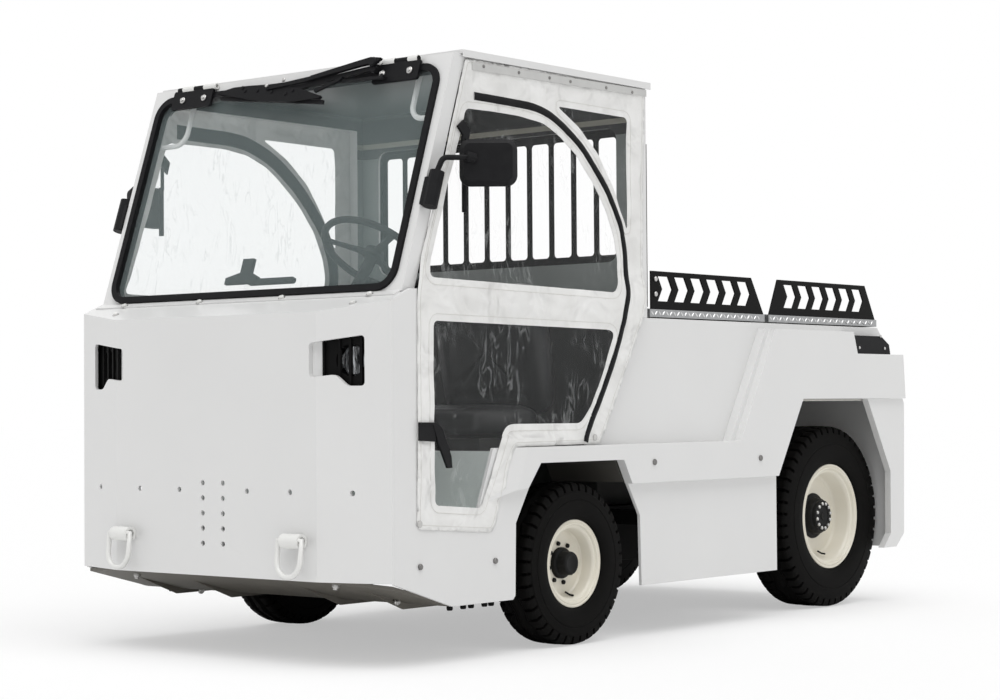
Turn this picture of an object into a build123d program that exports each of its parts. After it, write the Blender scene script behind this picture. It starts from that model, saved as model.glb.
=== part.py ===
import os
from math import atan2, cos, degrees, radians, sin, tan

from build123d import *

# Airport baggage tug, parked. The front faces -Y, its left side faces +X, the floor is Z = 0.
# The origin is on the floor under the middle of the machine. Millimetres.

os.makedirs("parts", exist_ok=True)

# Overall body
HALF_W = 731.0          # outer face of the thick side plates
PANEL_X = 705.0         # outer face of the front side panels and ends of the front panel
FRONT_Y = -1560.0       # middle facet of the front panel
CORNER_Y = -1490.0      # front corners, where the end facets meet the side panels
KINK_X = 458.0          # folds between the middle facet and the end facets
REAR_Y = 1564.0         # rear end of the side plates
SKIN = 12.0             # front and side panel plate
SIDE_T = HALF_W - PANEL_X

# Heights
BELLY_Z = 176.0         # bottom of the side panels and skirts
PANEL_BOTTOM_Z = 262.0
PANEL_TOP_Z = 1086.0
LEDGE_SLOPE = 23.0      # degrees, cowl between front panel and windscreen
ARCH_FRONT_Z = 609.0
SILL_Z = 661.0          # top of the side sill, beside the seats
SILL_BOTTOM_Z = 527.0
ARCH_REAR_Z = 812.0
FENDER_Z = 1073.0
REAR_TOP_Z = 988.0
DECK_Z = 1130.0
CAB_BASE_Z = 1153.0
ROOF_Z = 1913.0
ROOF_T = 12.0
WINDOW_Z = 1530.0       # middle of the rear window and of its guard

# Cab
CAB_X = 686.0
CAB_REAR_Y = -151.0
SCREEN_BOTTOM_Y = -1423.0
SCREEN_TOP_Y = -1172.0
SCREEN_BOTTOM_Z = CAB_BASE_Z - 10.0
SCREEN_TOP_Z = ROOF_Z - ROOF_T
FRAME_DEPTH = 53.0
POST = 40.0

# Rear body
RECESS_X = 671.0
NOTCH_Y = 1163.0
BUMPER_X = 716.0
BUMPER_Z = 218.0
DECK_FRONT_Y = -129.0
TAIL_Y = 1550.0
RAIL_TOP_Z = 1262.0

# Wheels
FRONT_AXLE_Y = -570.0
REAR_AXLE_Y = 1133.0
FRONT_R = 270.0
REAR_R = 353.0
FRONT_X = 617.0
REAR_X = 550.0
KINGPIN_X = 512.0

# Clearances
SEAT_GAP = 0.3

SIDES = ((1, "left"), (-1, "right"))


def yz_plane(x):
    """Plane at the given X whose sketch axes are the machine's Y and Z."""
    return Plane(origin=(x, 0, 0), x_dir=(0, 1, 0), z_dir=(1, 0, 0))


def xz_plane(y):
    """Plane at the given Y whose sketch axes are X and Z, facing -Y."""
    return Plane(origin=(0, y, 0), x_dir=(1, 0, 0), z_dir=(0, -1, 0))


def plate(plane, points, thickness, radius=0.0):
    """Flat plate with a closed outline, its corners rounded when a radius is given."""
    with BuildPart() as sheet:
        with BuildSketch(plane) as outline:
            with BuildLine():
                Polyline(*points, close=True)
            make_face()
            if radius:
                fillet(outline.vertices(), radius)
        extrude(amount=thickness)
    return sheet.part


def tube(plane, points, radius, bend, sides=8):
    """Bent bar: a path of straight runs with rounded corners, swept with a many-sided section."""
    with BuildLine(plane) as path:
        FilletPolyline(*points, radius=bend)
    run = path.wires()[0]
    with BuildPart() as bar:
        with BuildSketch(Plane(origin=run @ 0, z_dir=run % 0)):
            RegularPolygon(radius, sides)
        sweep(path=run)
    return bar.part


def save(piece, name):
    piece.part.label = name
    export_step(piece.part, f"parts/{name}.step")


# Slope of the windscreen from the vertical, and its plane
lean = degrees(atan2(SCREEN_TOP_Y - SCREEN_BOTTOM_Y, SCREEN_TOP_Z - SCREEN_BOTTOM_Z))
screen_length = (SCREEN_TOP_Z - SCREEN_BOTTOM_Z) / cos(radians(lean))
screen_plane = Plane(
    origin=(0, SCREEN_BOTTOM_Y, SCREEN_BOTTOM_Z), x_dir=(1, 0, 0),
    z_dir=(0, -cos(radians(lean)), sin(radians(lean))))

# Front panel: three facets of one folded plate, with the sloped cowl behind it
panel_outline = [(-PANEL_X, CORNER_Y), (-KINK_X, FRONT_Y), (KINK_X, FRONT_Y), (PANEL_X, CORNER_Y)]
ledge_plane = Plane(
    origin=(0, FRONT_Y, PANEL_TOP_Z), x_dir=(1, 0, 0),
    z_dir=(0, -sin(radians(LEDGE_SLOPE)), cos(radians(LEDGE_SLOPE))))
LEDGE_END_Y = FRONT_Y + (CAB_BASE_Z - PANEL_TOP_Z) / tan(radians(LEDGE_SLOPE))
facet_plane = Plane(
    origin=(KINK_X, FRONT_Y, 0), x_dir=(PANEL_X - KINK_X, CORNER_Y - FRONT_Y, 0),
    z_dir=(CORNER_Y - FRONT_Y, KINK_X - PANEL_X, 0))

LAMP_Z = 936.0
LAMP_U = 107.0          # lamp centre along the end facet, from the fold
LAMP_R = 50.0
LAMP_IN_X = 428.0
LAMP_OUT_X = 618.0
LAMP_DEPTH = 25.0
HOLE_ROW = (-576.0, -344.0, -155.0, 155.0, 344.0, 576.0)
HOLE_ROW_Z = 533.0
COLUMN_X = 46.0
COLUMN_Z = 460.0
COLUMN_PITCH = 48.0
COLUMN_COUNT = 5
HOLE_R = 9.0

# Lamp opening on the left: its upper edge rises and its lower edge drops in an S towards the end
with BuildPart() as lamp_opening:
    with BuildSketch(xz_plane(FRONT_Y - 40)) as opening:
        with BuildLine():
            Polyline(
                (LAMP_IN_X, LAMP_Z - 52), (LAMP_IN_X, LAMP_Z + 54), (LAMP_OUT_X, LAMP_Z + 76),
                (LAMP_OUT_X, LAMP_Z - 78), (LAMP_OUT_X - 58, LAMP_Z - 78), (LAMP_OUT_X - 98, LAMP_Z - 43), close=True)
        make_face()
        bends = [v for v in opening.vertices() if LAMP_IN_X + 40 < v.X < LAMP_OUT_X - 40]
        fillet(bends, 30)
        corners = [v for v in opening.vertices() if v.X < LAMP_IN_X + 5 or v.X > LAMP_OUT_X - 5]
        fillet(corners, 12)
    extrude(amount=-150)
    split(bisect_by=facet_plane.offset(-LAMP_DEPTH), keep=Keep.TOP)

with BuildPart() as front_panel:
    with BuildSketch(Plane.XY.offset(PANEL_BOTTOM_Z)):
        with BuildLine():
            Polyline(*panel_outline, (PANEL_X, CORNER_Y + 160), (-PANEL_X, CORNER_Y + 160), close=True)
        make_face()
    extrude(amount=CAB_BASE_Z - PANEL_BOTTOM_Z)
    split(bisect_by=ledge_plane, keep=Keep.BOTTOM)
    with BuildSketch(Plane.XY.offset(PANEL_BOTTOM_Z)):
        with BuildLine():
            Polyline(
                (-PANEL_X + SKIN, CORNER_Y + 9), (-KINK_X + 2, FRONT_Y + SKIN), (KINK_X - 2, FRONT_Y + SKIN),
                (PANEL_X - SKIN, CORNER_Y + 9), (PANEL_X - SKIN, CORNER_Y + 190), (-PANEL_X + SKIN, CORNER_Y + 190),
                close=True)
        make_face()
    hollow = extrude(amount=CAB_BASE_Z - PANEL_BOTTOM_Z - SKIN, mode=Mode.PRIVATE)
    hollow = split(hollow, bisect_by=ledge_plane.offset(-SKIN), keep=Keep.BOTTOM, mode=Mode.PRIVATE)
    add(hollow, mode=Mode.SUBTRACT)
    # Ends of the side walls that belong to the side panels
    for side, _ in SIDES:
        with Locations((side * (PANEL_X - SKIN + 50), CORNER_Y + 210, 700)):
            Box(100, 400, 2000, mode=Mode.SUBTRACT)
    # White lamp plate behind the inner end of each opening
    with BuildSketch(facet_plane.offset(1 - SKIN)):
        with Locations((-11, LAMP_Z)):
            Rectangle(50, 160)
    seat = extrude(amount=-(LAMP_DEPTH + 1), mode=Mode.PRIVATE)
    for piece in (seat, mirror(seat, about=Plane.YZ, mode=Mode.PRIVATE)):
        add(piece)
    for piece in (lamp_opening.part, mirror(lamp_opening.part, about=Plane.YZ, mode=Mode.PRIVATE)):
        add(piece, mode=Mode.SUBTRACT)
    # Gap in the cowl for the foot of the cab frame
    with Locations((0, SCREEN_BOTTOM_Y + 93, CAB_BASE_Z)):
        Box(2 * PANEL_X, 200, 140, mode=Mode.SUBTRACT)
    # Fixing holes
    with BuildSketch(xz_plane(FRONT_Y - 40)):
        with Locations(*[(x, HOLE_ROW_Z) for x in HOLE_ROW]):
            Circle(HOLE_R)
        with Locations((0, COLUMN_Z)):
            with GridLocations(2 * COLUMN_X, COLUMN_PITCH, 2, COLUMN_COUNT):
                Circle(HOLE_R)
    extrude(amount=-130, mode=Mode.SUBTRACT)
save(front_panel, "front_panel")

# Lamp units: boxes behind the openings, with a round well for the lamp and upright guard bars
POD_IN_U, POD_OUT_U = 16.0, 196.0
POD_DEPTH = 115.0
BAR_U = (-37.0, 0.0, 37.0)
with BuildPart() as pod_left:
    with BuildSketch(facet_plane.offset(-SKIN - SEAT_GAP)):
        with Locations(((POD_IN_U + POD_OUT_U) / 2, LAMP_Z - 2)):
            Rectangle(POD_OUT_U - POD_IN_U, 178)
    extrude(amount=SKIN - POD_DEPTH)
    with BuildSketch(facet_plane.offset(-SKIN + 5)):
        with Locations(((POD_IN_U + POD_OUT_U) / 2, LAMP_Z - 2)):
            Rectangle(POD_OUT_U - POD_IN_U - 12, 166)
    extrude(amount=SKIN - LAMP_DEPTH - 5, mode=Mode.SUBTRACT)
    with BuildSketch(facet_plane.offset(-LAMP_DEPTH + 1)):
        with Locations((LAMP_U, LAMP_Z)):
            Circle(LAMP_R)
    extrude(amount=-50, mode=Mode.SUBTRACT)
    with BuildSketch(facet_plane.offset(-LAMP_DEPTH - 6)):
        with Locations(*[(LAMP_U + u, LAMP_Z) for u in BAR_U]):
            RectangleRounded(9, 152, 4)
    extrude(amount=12)
with BuildPart() as lamp_pods:
    add(pod_left.part)
    mirror(pod_left.part, about=Plane.YZ)
save(lamp_pods, "lamp_pods")

with BuildPart() as lamp_left:
    with BuildSketch(facet_plane.offset(-LAMP_DEPTH - 49 + SEAT_GAP)):
        with Locations((LAMP_U, LAMP_Z)):
            Circle(LAMP_R - SEAT_GAP)
    extrude(amount=26)
    face = lamp_left.faces().sort_by(Axis.Y)[0]
    chamfer(face.edges(), 8)
with BuildPart() as headlamps:
    add(lamp_left.part)
    mirror(lamp_left.part, about=Plane.YZ)
save(headlamps, "headlamps")

# Side bodies: thin panel ahead of the wheel, thick plate behind the flared facet, skirt and fender
with BuildPart() as side_body_left:
    # Front side panel with the doorway's lower front corner
    with BuildSketch(yz_plane(PANEL_X - SKIN)):
        with BuildLine():
            Polyline(
                (CORNER_Y + 10, PANEL_BOTTOM_Z - 4), (-1217, BELLY_Z), (-920, BELLY_Z), (-908, BELLY_Z + 12),
                (-903, 419), (-837, SILL_BOTTOM_Z), (-804, ARCH_FRONT_Z), (-800, SILL_Z), (-1014, SILL_Z),
                (-1090, 470), (-1096, 440), (-1350, 430), (-1372, CAB_BASE_Z), (LEDGE_END_Y, CAB_BASE_Z),
                (CORNER_Y + 10, CAB_BASE_Z + (CORNER_Y + 10 - LEDGE_END_Y) * tan(radians(LEDGE_SLOPE))), close=True)
        make_face()
    extrude(amount=SKIN)
    # Thick plate: sill, wheel arches and rear fender in one outline
    with BuildSketch(yz_plane(PANEL_X - 6)):
        with BuildLine():
            Polyline(
                (-1010, SILL_Z), (-1083, 482), (-930, 524), (-869, SILL_BOTTOM_Z + 3),
                (-804, ARCH_FRONT_Z), (-354, ARCH_FRONT_Z), (-307, SILL_BOTTOM_Z),
                (613, SILL_BOTTOM_Z), (789, ARCH_REAR_Z), (REAR_Y, ARCH_REAR_Z),
                (REAR_Y - 14, REAR_TOP_Z), (NOTCH_Y + 29, REAR_TOP_Z), (NOTCH_Y, FENDER_Z),
                (596, FENDER_Z), (359, SILL_Z), close=True)
        make_face()
    thick = extrude(amount=SIDE_T + 6, mode=Mode.PRIVATE)
    flare = Plane(
        origin=(PANEL_X, -990, SILL_Z),
        x_dir=Vector(0, -70, -171).normalized(),
        z_dir=Vector(0, -70, -171).cross(Vector(SIDE_T, 122, 0)).normalized())
    halves = [split(thick, bisect_by=flare, keep=k, mode=Mode.PRIVATE) for k in (Keep.TOP, Keep.BOTTOM)]
    add(max(halves, key=lambda h: h.volume))
    # Flare from the recessed engine panel out to the fender's front edge
    with BuildSketch(yz_plane(RECESS_X)):
        with BuildLine():
            Polyline((359, SILL_Z), (596, FENDER_Z), (569, FENDER_Z), (342, SILL_Z + 20), (330, SILL_Z),
                     close=True)
        make_face()
    extrude(amount=PANEL_X - RECESS_X)
    # Sill top between the panel and the plate
    with BuildSketch(yz_plane(RECESS_X)):
        with BuildLine():
            Polyline((-860, SILL_Z - 10), (-860, SILL_Z), (359, SILL_Z), (359, SILL_Z - 10), close=True)
        make_face()
    extrude(amount=PANEL_X - RECESS_X)
    # Skirt between the wheels
    with BuildSketch(yz_plane(PANEL_X - SKIN)):
        with BuildLine():
            Polyline((-230, 417), (-223, BELLY_Z), (634, BELLY_Z), (634, SILL_BOTTOM_Z + 30),
                     (-290, SILL_BOTTOM_Z + 30), (-300, SILL_BOTTOM_Z + 2), close=True)
        make_face()
    extrude(amount=SKIN)
    # Tops of the fender and of the tail
    for y0, y1, z in ((569, NOTCH_Y, FENDER_Z), (NOTCH_Y + 29, TAIL_Y, REAR_TOP_Z)):
        with Locations(((RECESS_X + PANEL_X) / 2, (y0 + y1) / 2, z - 8)):
            Box(PANEL_X - RECESS_X, y1 - y0, 16)
save(side_body_left, "side_body_left")
with BuildPart() as side_body_right:
    mirror(side_body_left.part, about=Plane.YZ)
save(side_body_right, "side_body_right")

# Wheel arch liners: folded plates above and beside the wheels
LINER_T = 8.0
LINER_X = PANEL_X - SKIN - SEAT_GAP
LINER_IN_FRONT, LINER_IN_REAR = 385.0, 418.0
with BuildPart() as liner_left:
    with BuildSketch(yz_plane(LINER_IN_FRONT)):
        with BuildLine():
            Polyline(
                (-907, 424), (-841, SILL_BOTTOM_Z + 3), (-808, ARCH_FRONT_Z), (-355, ARCH_FRONT_Z),
                (-309, SILL_BOTTOM_Z + 4), (-300, SILL_BOTTOM_Z + 4), (-350, ARCH_FRONT_Z + LINER_T),
                (-814, ARCH_FRONT_Z + LINER_T), (-849, SILL_BOTTOM_Z + 6), (-914, 428), close=True)
        make_face()
    extrude(amount=LINER_X - LINER_IN_FRONT)
    with BuildSketch(yz_plane(LINER_IN_REAR)):
        with BuildLine():
            Polyline(
                (612, SILL_BOTTOM_Z + 6), (788, ARCH_REAR_Z - SEAT_GAP), (1283, ARCH_REAR_Z - SEAT_GAP),
                (1283, ARCH_REAR_Z - LINER_T), (793, ARCH_REAR_Z - LINER_T), (621, SILL_BOTTOM_Z + 6), close=True)
        make_face()
    extrude(amount=LINER_X - LINER_IN_REAR)
with BuildPart() as arch_liners:
    add(liner_left.part)
    mirror(liner_left.part, about=Plane.YZ)
save(arch_liners, "arch_liners")

# Belly: dark sloping plate under the front, from the front panel down to the lowest edge
BELLY_T = 10.0
with BuildPart() as belly_plate:
    with BuildSketch(yz_plane(-PANEL_X + SKIN)):
        with BuildLine():
            Polyline(
                (FRONT_Y + 15, PANEL_BOTTOM_Z), (-1217, BELLY_Z), (-925, BELLY_Z), (-925, BELLY_Z + BELLY_T),
                (-1216, BELLY_Z + BELLY_T), (FRONT_Y + 17, PANEL_BOTTOM_Z + BELLY_T), close=True)
        make_face()
    extrude(amount=2 * (PANEL_X - SKIN))
    with BuildSketch(Plane.XY):
        with BuildLine():
            Polyline(
                (-PANEL_X + SKIN, CORNER_Y + 14), (-KINK_X + 2, FRONT_Y + SKIN), (KINK_X - 2, FRONT_Y + SKIN),
                (PANEL_X - SKIN, CORNER_Y + 14), (PANEL_X - SKIN, -900), (-PANEL_X + SKIN, -900), close=True)
        make_face()
    extrude(amount=400, mode=Mode.INTERSECT)
    # Ribs under the slope, between the tow lugs
    for x in (-520, -250, 250, 520):
        with BuildSketch(yz_plane(x - 5)):
            with BuildLine():
                Polyline((-1420, 230), (-1240, 160), (-1060, 160), (-1000, BELLY_Z + 2), (-1217, BELLY_Z + 2),
                         (-1500, 252), close=True)
            make_face()
        extrude(amount=10)
save(belly_plate, "belly_plate")

# Front axle beam with a yoke at each end
KNUCKLE_R = 27.0
PIN_R = 12.6
RAIL_IN, RAIL_OUT = 300.0, 375.0
with BuildPart() as front_axle:
    with Locations((0, FRONT_AXLE_Y, FRONT_R)):
        Box(2 * (KINGPIN_X - 34), 70, 70)
        Box(2 * RAIL_OUT, 71, 80)
    for side, _ in SIDES:
        with Locations((side * (KINGPIN_X - 52), FRONT_AXLE_Y, FRONT_R)):
            Box(36, 70, 150)
        with Locations((side * 337, FRONT_AXLE_Y, FRONT_R + 42)):
            Box(60, 60, 14)
        for dz in (-68, 68):
            with Locations((side * (KINGPIN_X - 20), FRONT_AXLE_Y, FRONT_R + dz)):
                Box(40, 54, 14)
            with Locations((side * KINGPIN_X, FRONT_AXLE_Y, FRONT_R + dz)):
                Cylinder(KNUCKLE_R - 1, 14)
                Cylinder(PIN_R + 0.08, 14, mode=Mode.SUBTRACT)
save(front_axle, "front_axle")

# Rear axle: many-sided tube with the swollen differential in the middle
SHAFT_R = 40.0
AXLE_HALF, AXLE_R = 440.0, 58.0
BULGE_HALF, BULGE_R = 70.0, 132.0
with BuildPart() as rear_axle:
    for half, r in ((AXLE_HALF, AXLE_R), (BULGE_HALF, BULGE_R)):
        with BuildSketch(yz_plane(-half)):
            with Locations((REAR_AXLE_Y, REAR_R)):
                RegularPolygon(r, 16, rotation=11.25)
        extrude(amount=2 * half)
    for side, _ in SIDES:
        with BuildSketch(Plane(origin=(side * BULGE_HALF, REAR_AXLE_Y, REAR_R), x_dir=(0, 1, 0), z_dir=(side, 0, 0))):
            RegularPolygon(BULGE_R, 16, rotation=11.25)
        extrude(amount=60, taper=50.4)
    for side, _ in SIDES:
        with BuildSketch(yz_plane(side * 480 - 40)):
            with Locations((REAR_AXLE_Y, REAR_R)):
                Circle(SHAFT_R)
        extrude(amount=80)
save(rear_axle, "rear_axle")

# Chassis: two rails, cross members between them, and outriggers that carry the side panels
RAIL_Z0, RAIL_Z1 = 230.0, 430.0
RAIL_Y0, RAIL_Y1 = -1260.0, 1480.0
CROSS = (  # y, depth, bottom, top
    (-1180, 80, 230, 430), (-240, 80, 300, 430), (320, 80, 230, 430), (800, 80, 230, 430), (1400, 80, 230, 430))
OUTRIGGER_Y = (-1180.0, -160.0, 560.0)
with BuildPart() as chassis_frame:
    for side, _ in SIDES:
        with Locations((side * (RAIL_IN + RAIL_OUT) / 2, (RAIL_Y0 + RAIL_Y1) / 2, (RAIL_Z0 + RAIL_Z1) / 2)):
            Box(RAIL_OUT - RAIL_IN, RAIL_Y1 - RAIL_Y0, RAIL_Z1 - RAIL_Z0)
        for y in OUTRIGGER_Y:
            with Locations((side * (RAIL_OUT + 0.2 + PANEL_X - SKIN) / 2, y, 405)):
                Box(PANEL_X - SKIN - RAIL_OUT - 0.2, 60, 50)
    for y, depth, z0, z1 in CROSS:
        with Locations((0, y, (z0 + z1) / 2)):
            Box(2 * (RAIL_IN - 0.2), depth, z1 - z0)
    for part in (front_axle.part, rear_axle.part):
        add(part, mode=Mode.SUBTRACT)
save(chassis_frame, "chassis_frame")

# Cab floor: footwell, riser, seat deck and firewall in one folded plate, between the body's side walls
SHELL_T = 10.0
FLOOR_Z = 442.0
SEAT_DECK_Z = 649.0
RISER_Y = -950.0
with BuildPart() as cab_floor:
    with BuildSketch(yz_plane(-PANEL_X + SKIN)):
        with BuildLine():
            Polyline(
                (-1440, FLOOR_Z), (RISER_Y, FLOOR_Z), (RISER_Y, SEAT_DECK_Z), (CAB_REAR_Y - 12, SEAT_DECK_Z),
                (CAB_REAR_Y - 12, 1090), (CAB_REAR_Y, 1090), (CAB_REAR_Y, SEAT_DECK_Z - 12),
                (RISER_Y + 12, SEAT_DECK_Z - 12), (RISER_Y + 12, FLOOR_Z - 12), (-1440, FLOOR_Z - 12), close=True)
        make_face()
    extrude(amount=2 * (PANEL_X - SKIN))
    for side, _ in SIDES:
        with Locations((side * (RECESS_X - SHELL_T - SEAT_GAP + 35), -500, 900)):
            Box(70, 930, 560, mode=Mode.SUBTRACT)
        with Locations((side * 320, -640, SEAT_DECK_Z + 20)):
            Box(430, 480, 40)
save(cab_floor, "cab_floor")

# Deck lids, used here for their hinges
LIDS = (  # name, front y, rear y, rail foot front, rail top front, rail top rear, rail foot rear, hinge places
    ("front", -114.0, 619.0, -101.0, -101.0, 536.0, 618.0, (20.0, 480.0)),
    ("rear", 646.0, 1442.0, 655.0, 716.0, 1359.0, 1436.0, (760.0, 1330.0)))
LID_T = 30.0
HINGE_X = -RECESS_X - 11.0
HINGE_Z = DECK_Z - 32.0
HINGE_LEN = 60.0
HINGE_PIN_R = 5.0

# Rear body shell under the deck, with the sloped tail and a wing beside each door opening
SHELL_TOP_Z = DECK_Z - 34.0
WING_FOOT_Y = -485.0
WING_TOP_Y = -225.0
with BuildPart() as rear_body:
    with BuildSketch(yz_plane(-RECESS_X)):
        with BuildLine():
            Polyline((CAB_REAR_Y + 0.4, SILL_Z), (CAB_REAR_Y + 0.4, SHELL_TOP_Z), (1446, SHELL_TOP_Z),
                     (TAIL_Y, REAR_TOP_Z), (TAIL_Y, ARCH_REAR_Z), (600, ARCH_REAR_Z), (600, SILL_Z), close=True)
        make_face()
    extrude(amount=2 * RECESS_X)
    with BuildSketch(yz_plane(-RECESS_X + SHELL_T)):
        with BuildLine():
            Polyline((CAB_REAR_Y + SHELL_T, SILL_Z - 20), (CAB_REAR_Y + SHELL_T, SHELL_TOP_Z - SHELL_T),
                     (1442, SHELL_TOP_Z - SHELL_T), (TAIL_Y - SHELL_T, REAR_TOP_Z - 4),
                     (TAIL_Y - SHELL_T, ARCH_REAR_Z - 20), (610, ARCH_REAR_Z - 20), (610, SILL_Z - 20), close=True)
        make_face()
    extrude(amount=2 * (RECESS_X - SHELL_T), mode=Mode.SUBTRACT)
    for y0, y1 in ((-80, 580), (690, 1390)):
        with Locations((0, (y0 + y1) / 2, SHELL_TOP_Z - 5)):
            Box(1200, y1 - y0, 40, mode=Mode.SUBTRACT)
    for x0 in (-RECESS_X, RECESS_X - SHELL_T):
        with BuildSketch(yz_plane(x0)):
            with BuildLine():
                Polyline((CAB_REAR_Y + 5, SILL_Z), (CAB_REAR_Y + 5, SHELL_TOP_Z - SEAT_GAP),
                         (WING_TOP_Y, SHELL_TOP_Z - SEAT_GAP), (WING_FOOT_Y, SILL_Z), close=True)
            make_face()
        extrude(amount=SHELL_T)
    # Lugs and pins of the lid hinges
    for hinges in [row[-1] for row in LIDS]:
        for y in hinges:
            for end in (-1, 1):
                with BuildSketch(xz_plane(y + end * (HINGE_LEN / 2 + 5.5) + 5)):
                    with BuildLine():
                        Polyline((HINGE_X - 9, HINGE_Z - 4), (HINGE_X - 9, HINGE_Z + 9), (HINGE_X + 5, HINGE_Z + 9),
                                 (-RECESS_X + 2, HINGE_Z - 6), (-RECESS_X + 2, HINGE_Z - 24), (-RECESS_X, HINGE_Z - 24),
                                 close=True)
                    make_face()
                extrude(amount=10)
            with BuildSketch(xz_plane(y + HINGE_LEN / 2 + 4)):
                with Locations((HINGE_X, HINGE_Z)):
                    Circle(HINGE_PIN_R)
            extrude(amount=HINGE_LEN + 8)
save(rear_body, "rear_body")

# Rear bumper: heavy cross beam, side cheeks and the tow clevis
HITCH_Z = 420.0
HITCH_R = 16.0
HITCH_Y = 1598.0
CHEEK_T = 26.0
with BuildPart() as rear_bumper:
    with BuildSketch(yz_plane(-BUMPER_X + CHEEK_T + 0.2)):
        with BuildLine():
            Polyline((1500, 811.7), (1500, BUMPER_Z), (1503, BUMPER_Z), (1566, 270), (1577, 793), (REAR_Y, 811.7),
                     close=True)
        make_face()
    extrude(amount=2 * (BUMPER_X - CHEEK_T - 0.2))
    for x0 in (-BUMPER_X, BUMPER_X - CHEEK_T):
        with BuildSketch(yz_plane(x0)):
            with BuildLine():
                Polyline((1288, 811.7), (1462, 523), (1460, 274), (1403, BUMPER_Z), (1503, BUMPER_Z), (1566, 270),
                         (1577, 793), (REAR_Y, 811.7), close=True)
            make_face()
        extrude(amount=CHEEK_T)
    for z in (HITCH_Z - 50, HITCH_Z + 34):
        with BuildSketch(Plane.XY.offset(z)) as ear:
            with BuildLine():
                Polyline((-90, 1560), (-48, HITCH_Y + 24), (48, HITCH_Y + 24), (90, 1560), close=True)
            make_face()
            fillet([v for v in ear.vertices() if v.Y > HITCH_Y], 20)
            with Locations((0, HITCH_Y)):
                Circle(HITCH_R, mode=Mode.SUBTRACT)
        extrude(amount=16)
save(rear_bumper, "rear_bumper")

# Engine and transmission as one plain block on the rails
with BuildPart() as engine_block:
    with Locations((0, 330, RAIL_Z1 + 300)):
        Box(2 * RAIL_IN + 80, 640, 600)
save(engine_block, "engine_block")

# Cab frame: sloped front frame, rear posts, top rails, rear wall with its window, grab handles
SEAL_HALF = CAB_X - 31.0
SEAL_LOW = 5.0
SEAL_TOP = screen_length - 32.0
SEAL_H = SEAL_TOP - SEAL_LOW
SEAL_MID = (SEAL_TOP + SEAL_LOW) / 2
SEAL_R = 75.0
SEAL_W = 22.0
SEAL_PROUD = 10.0
FRAME_TOP_Z = SCREEN_TOP_Z - SEAT_GAP
with BuildPart() as cab_frame:
    with BuildSketch(screen_plane):
        with Locations((0, screen_length / 2 + 20)):
            Rectangle(2 * CAB_X, screen_length + 68)
    extrude(amount=-FRAME_DEPTH)
    split(bisect_by=Plane.XY.offset(FRAME_TOP_Z), keep=Keep.BOTTOM)
    # Foot flange on the cowl
    with BuildSketch(ledge_plane.offset(SEAT_GAP)):
        with Locations((0, (SCREEN_BOTTOM_Y - 14 - FRONT_Y) / cos(radians(LEDGE_SLOPE)))):
            Rectangle(2 * CAB_X, 36)
    extrude(amount=4)
    with BuildSketch(screen_plane.offset(SEAL_PROUD + 5)):
        with Locations((0, SEAL_MID)):
            RectangleRounded(2 * (SEAL_HALF + SEAT_GAP), SEAL_H + 2 * SEAT_GAP, SEAL_R)
    extrude(amount=-FRAME_DEPTH - SEAL_PROUD - 10, mode=Mode.SUBTRACT)
    # Side top rails and rear posts
    for side, _ in SIDES:
        with Locations((side * (CAB_X - POST / 2), (SCREEN_TOP_Y + CAB_REAR_Y) / 2, FRAME_TOP_Z - 25)):
            Box(POST, CAB_REAR_Y - SCREEN_TOP_Y, 50)
        with Locations((side * (CAB_X - POST / 2), CAB_REAR_Y - POST / 2, (1096 + FRAME_TOP_Z) / 2)):
            Box(POST, POST, FRAME_TOP_Z - 1096)
    with BuildSketch(xz_plane(CAB_REAR_Y)):
        with Locations((0, (1096 + FRAME_TOP_Z) / 2)):
            Rectangle(2 * CAB_X, FRAME_TOP_Z - 1096)
        with Locations((0, WINDOW_Z)):
            RectangleRounded(2 * CAB_X - 242, 470, 40, mode=Mode.SUBTRACT)
    extrude(amount=10)
    for side, _ in SIDES:
        add(tube(screen_plane.offset(-42), [
            (side * 522, SEAL_TOP + 10), (side * 522, SEAL_TOP - 165), (side * (SEAL_HALF + 12), SEAL_TOP - 165)],
            9, 50))
save(cab_frame, "cab_frame")

# Roof sheet with turned-down edges
with BuildPart() as roof:
    with Locations((0, (-1138 - 133) / 2, ROOF_Z - ROOF_T / 2)):
        Box(2 * (CAB_X + 10), 1138 - 133, ROOF_T)
    for side, _ in SIDES:
        with Locations((side * (CAB_X + 8.5), (-1138 - 133) / 2, ROOF_Z - 12)):
            Box(3, 1138 - 133, 24)
save(roof, "roof")

HINGE_PLATES = ((-570.0, -375.0), (375.0, 570.0))
with BuildPart() as windscreen_seal:
    with BuildSketch(screen_plane.offset(-30)):
        with Locations((0, SEAL_MID)):
            RectangleRounded(2 * SEAL_HALF, SEAL_H, SEAL_R)
            RectangleRounded(2 * (SEAL_HALF - SEAL_W), SEAL_H - 2 * SEAL_W, SEAL_R - SEAL_W, mode=Mode.SUBTRACT)
    extrude(amount=30 + SEAL_PROUD)
    # Hinge plates over the top edge, each with its barrel
    for x0, x1 in HINGE_PLATES:
        with BuildSketch(screen_plane.offset(SEAL_PROUD - 2)):
            with Locations(((x0 + x1) / 2, SEAL_TOP - 20)):
                RectangleRounded(x1 - x0, 68, 8)
        extrude(amount=10)
        with BuildSketch(Plane(origin=screen_plane.from_local_coords((x0 + 15, SEAL_TOP + 20, 12)),
                               x_dir=screen_plane.y_dir, z_dir=(1, 0, 0))):
            RegularPolygon(9, 12)
        extrude(amount=x1 - x0 - 30)
save(windscreen_seal, "windscreen_seal")

GLASS_T = 6.0
with BuildPart() as windscreen:
    with BuildSketch(screen_plane.offset(-14)):
        with Locations((0, SEAL_MID)):
            RectangleRounded(2 * (SEAL_HALF - SEAL_W) - 0.6, SEAL_H - 2 * SEAL_W - 0.6, SEAL_R - SEAL_W)
    extrude(amount=GLASS_T)
save(windscreen, "windscreen")

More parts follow.
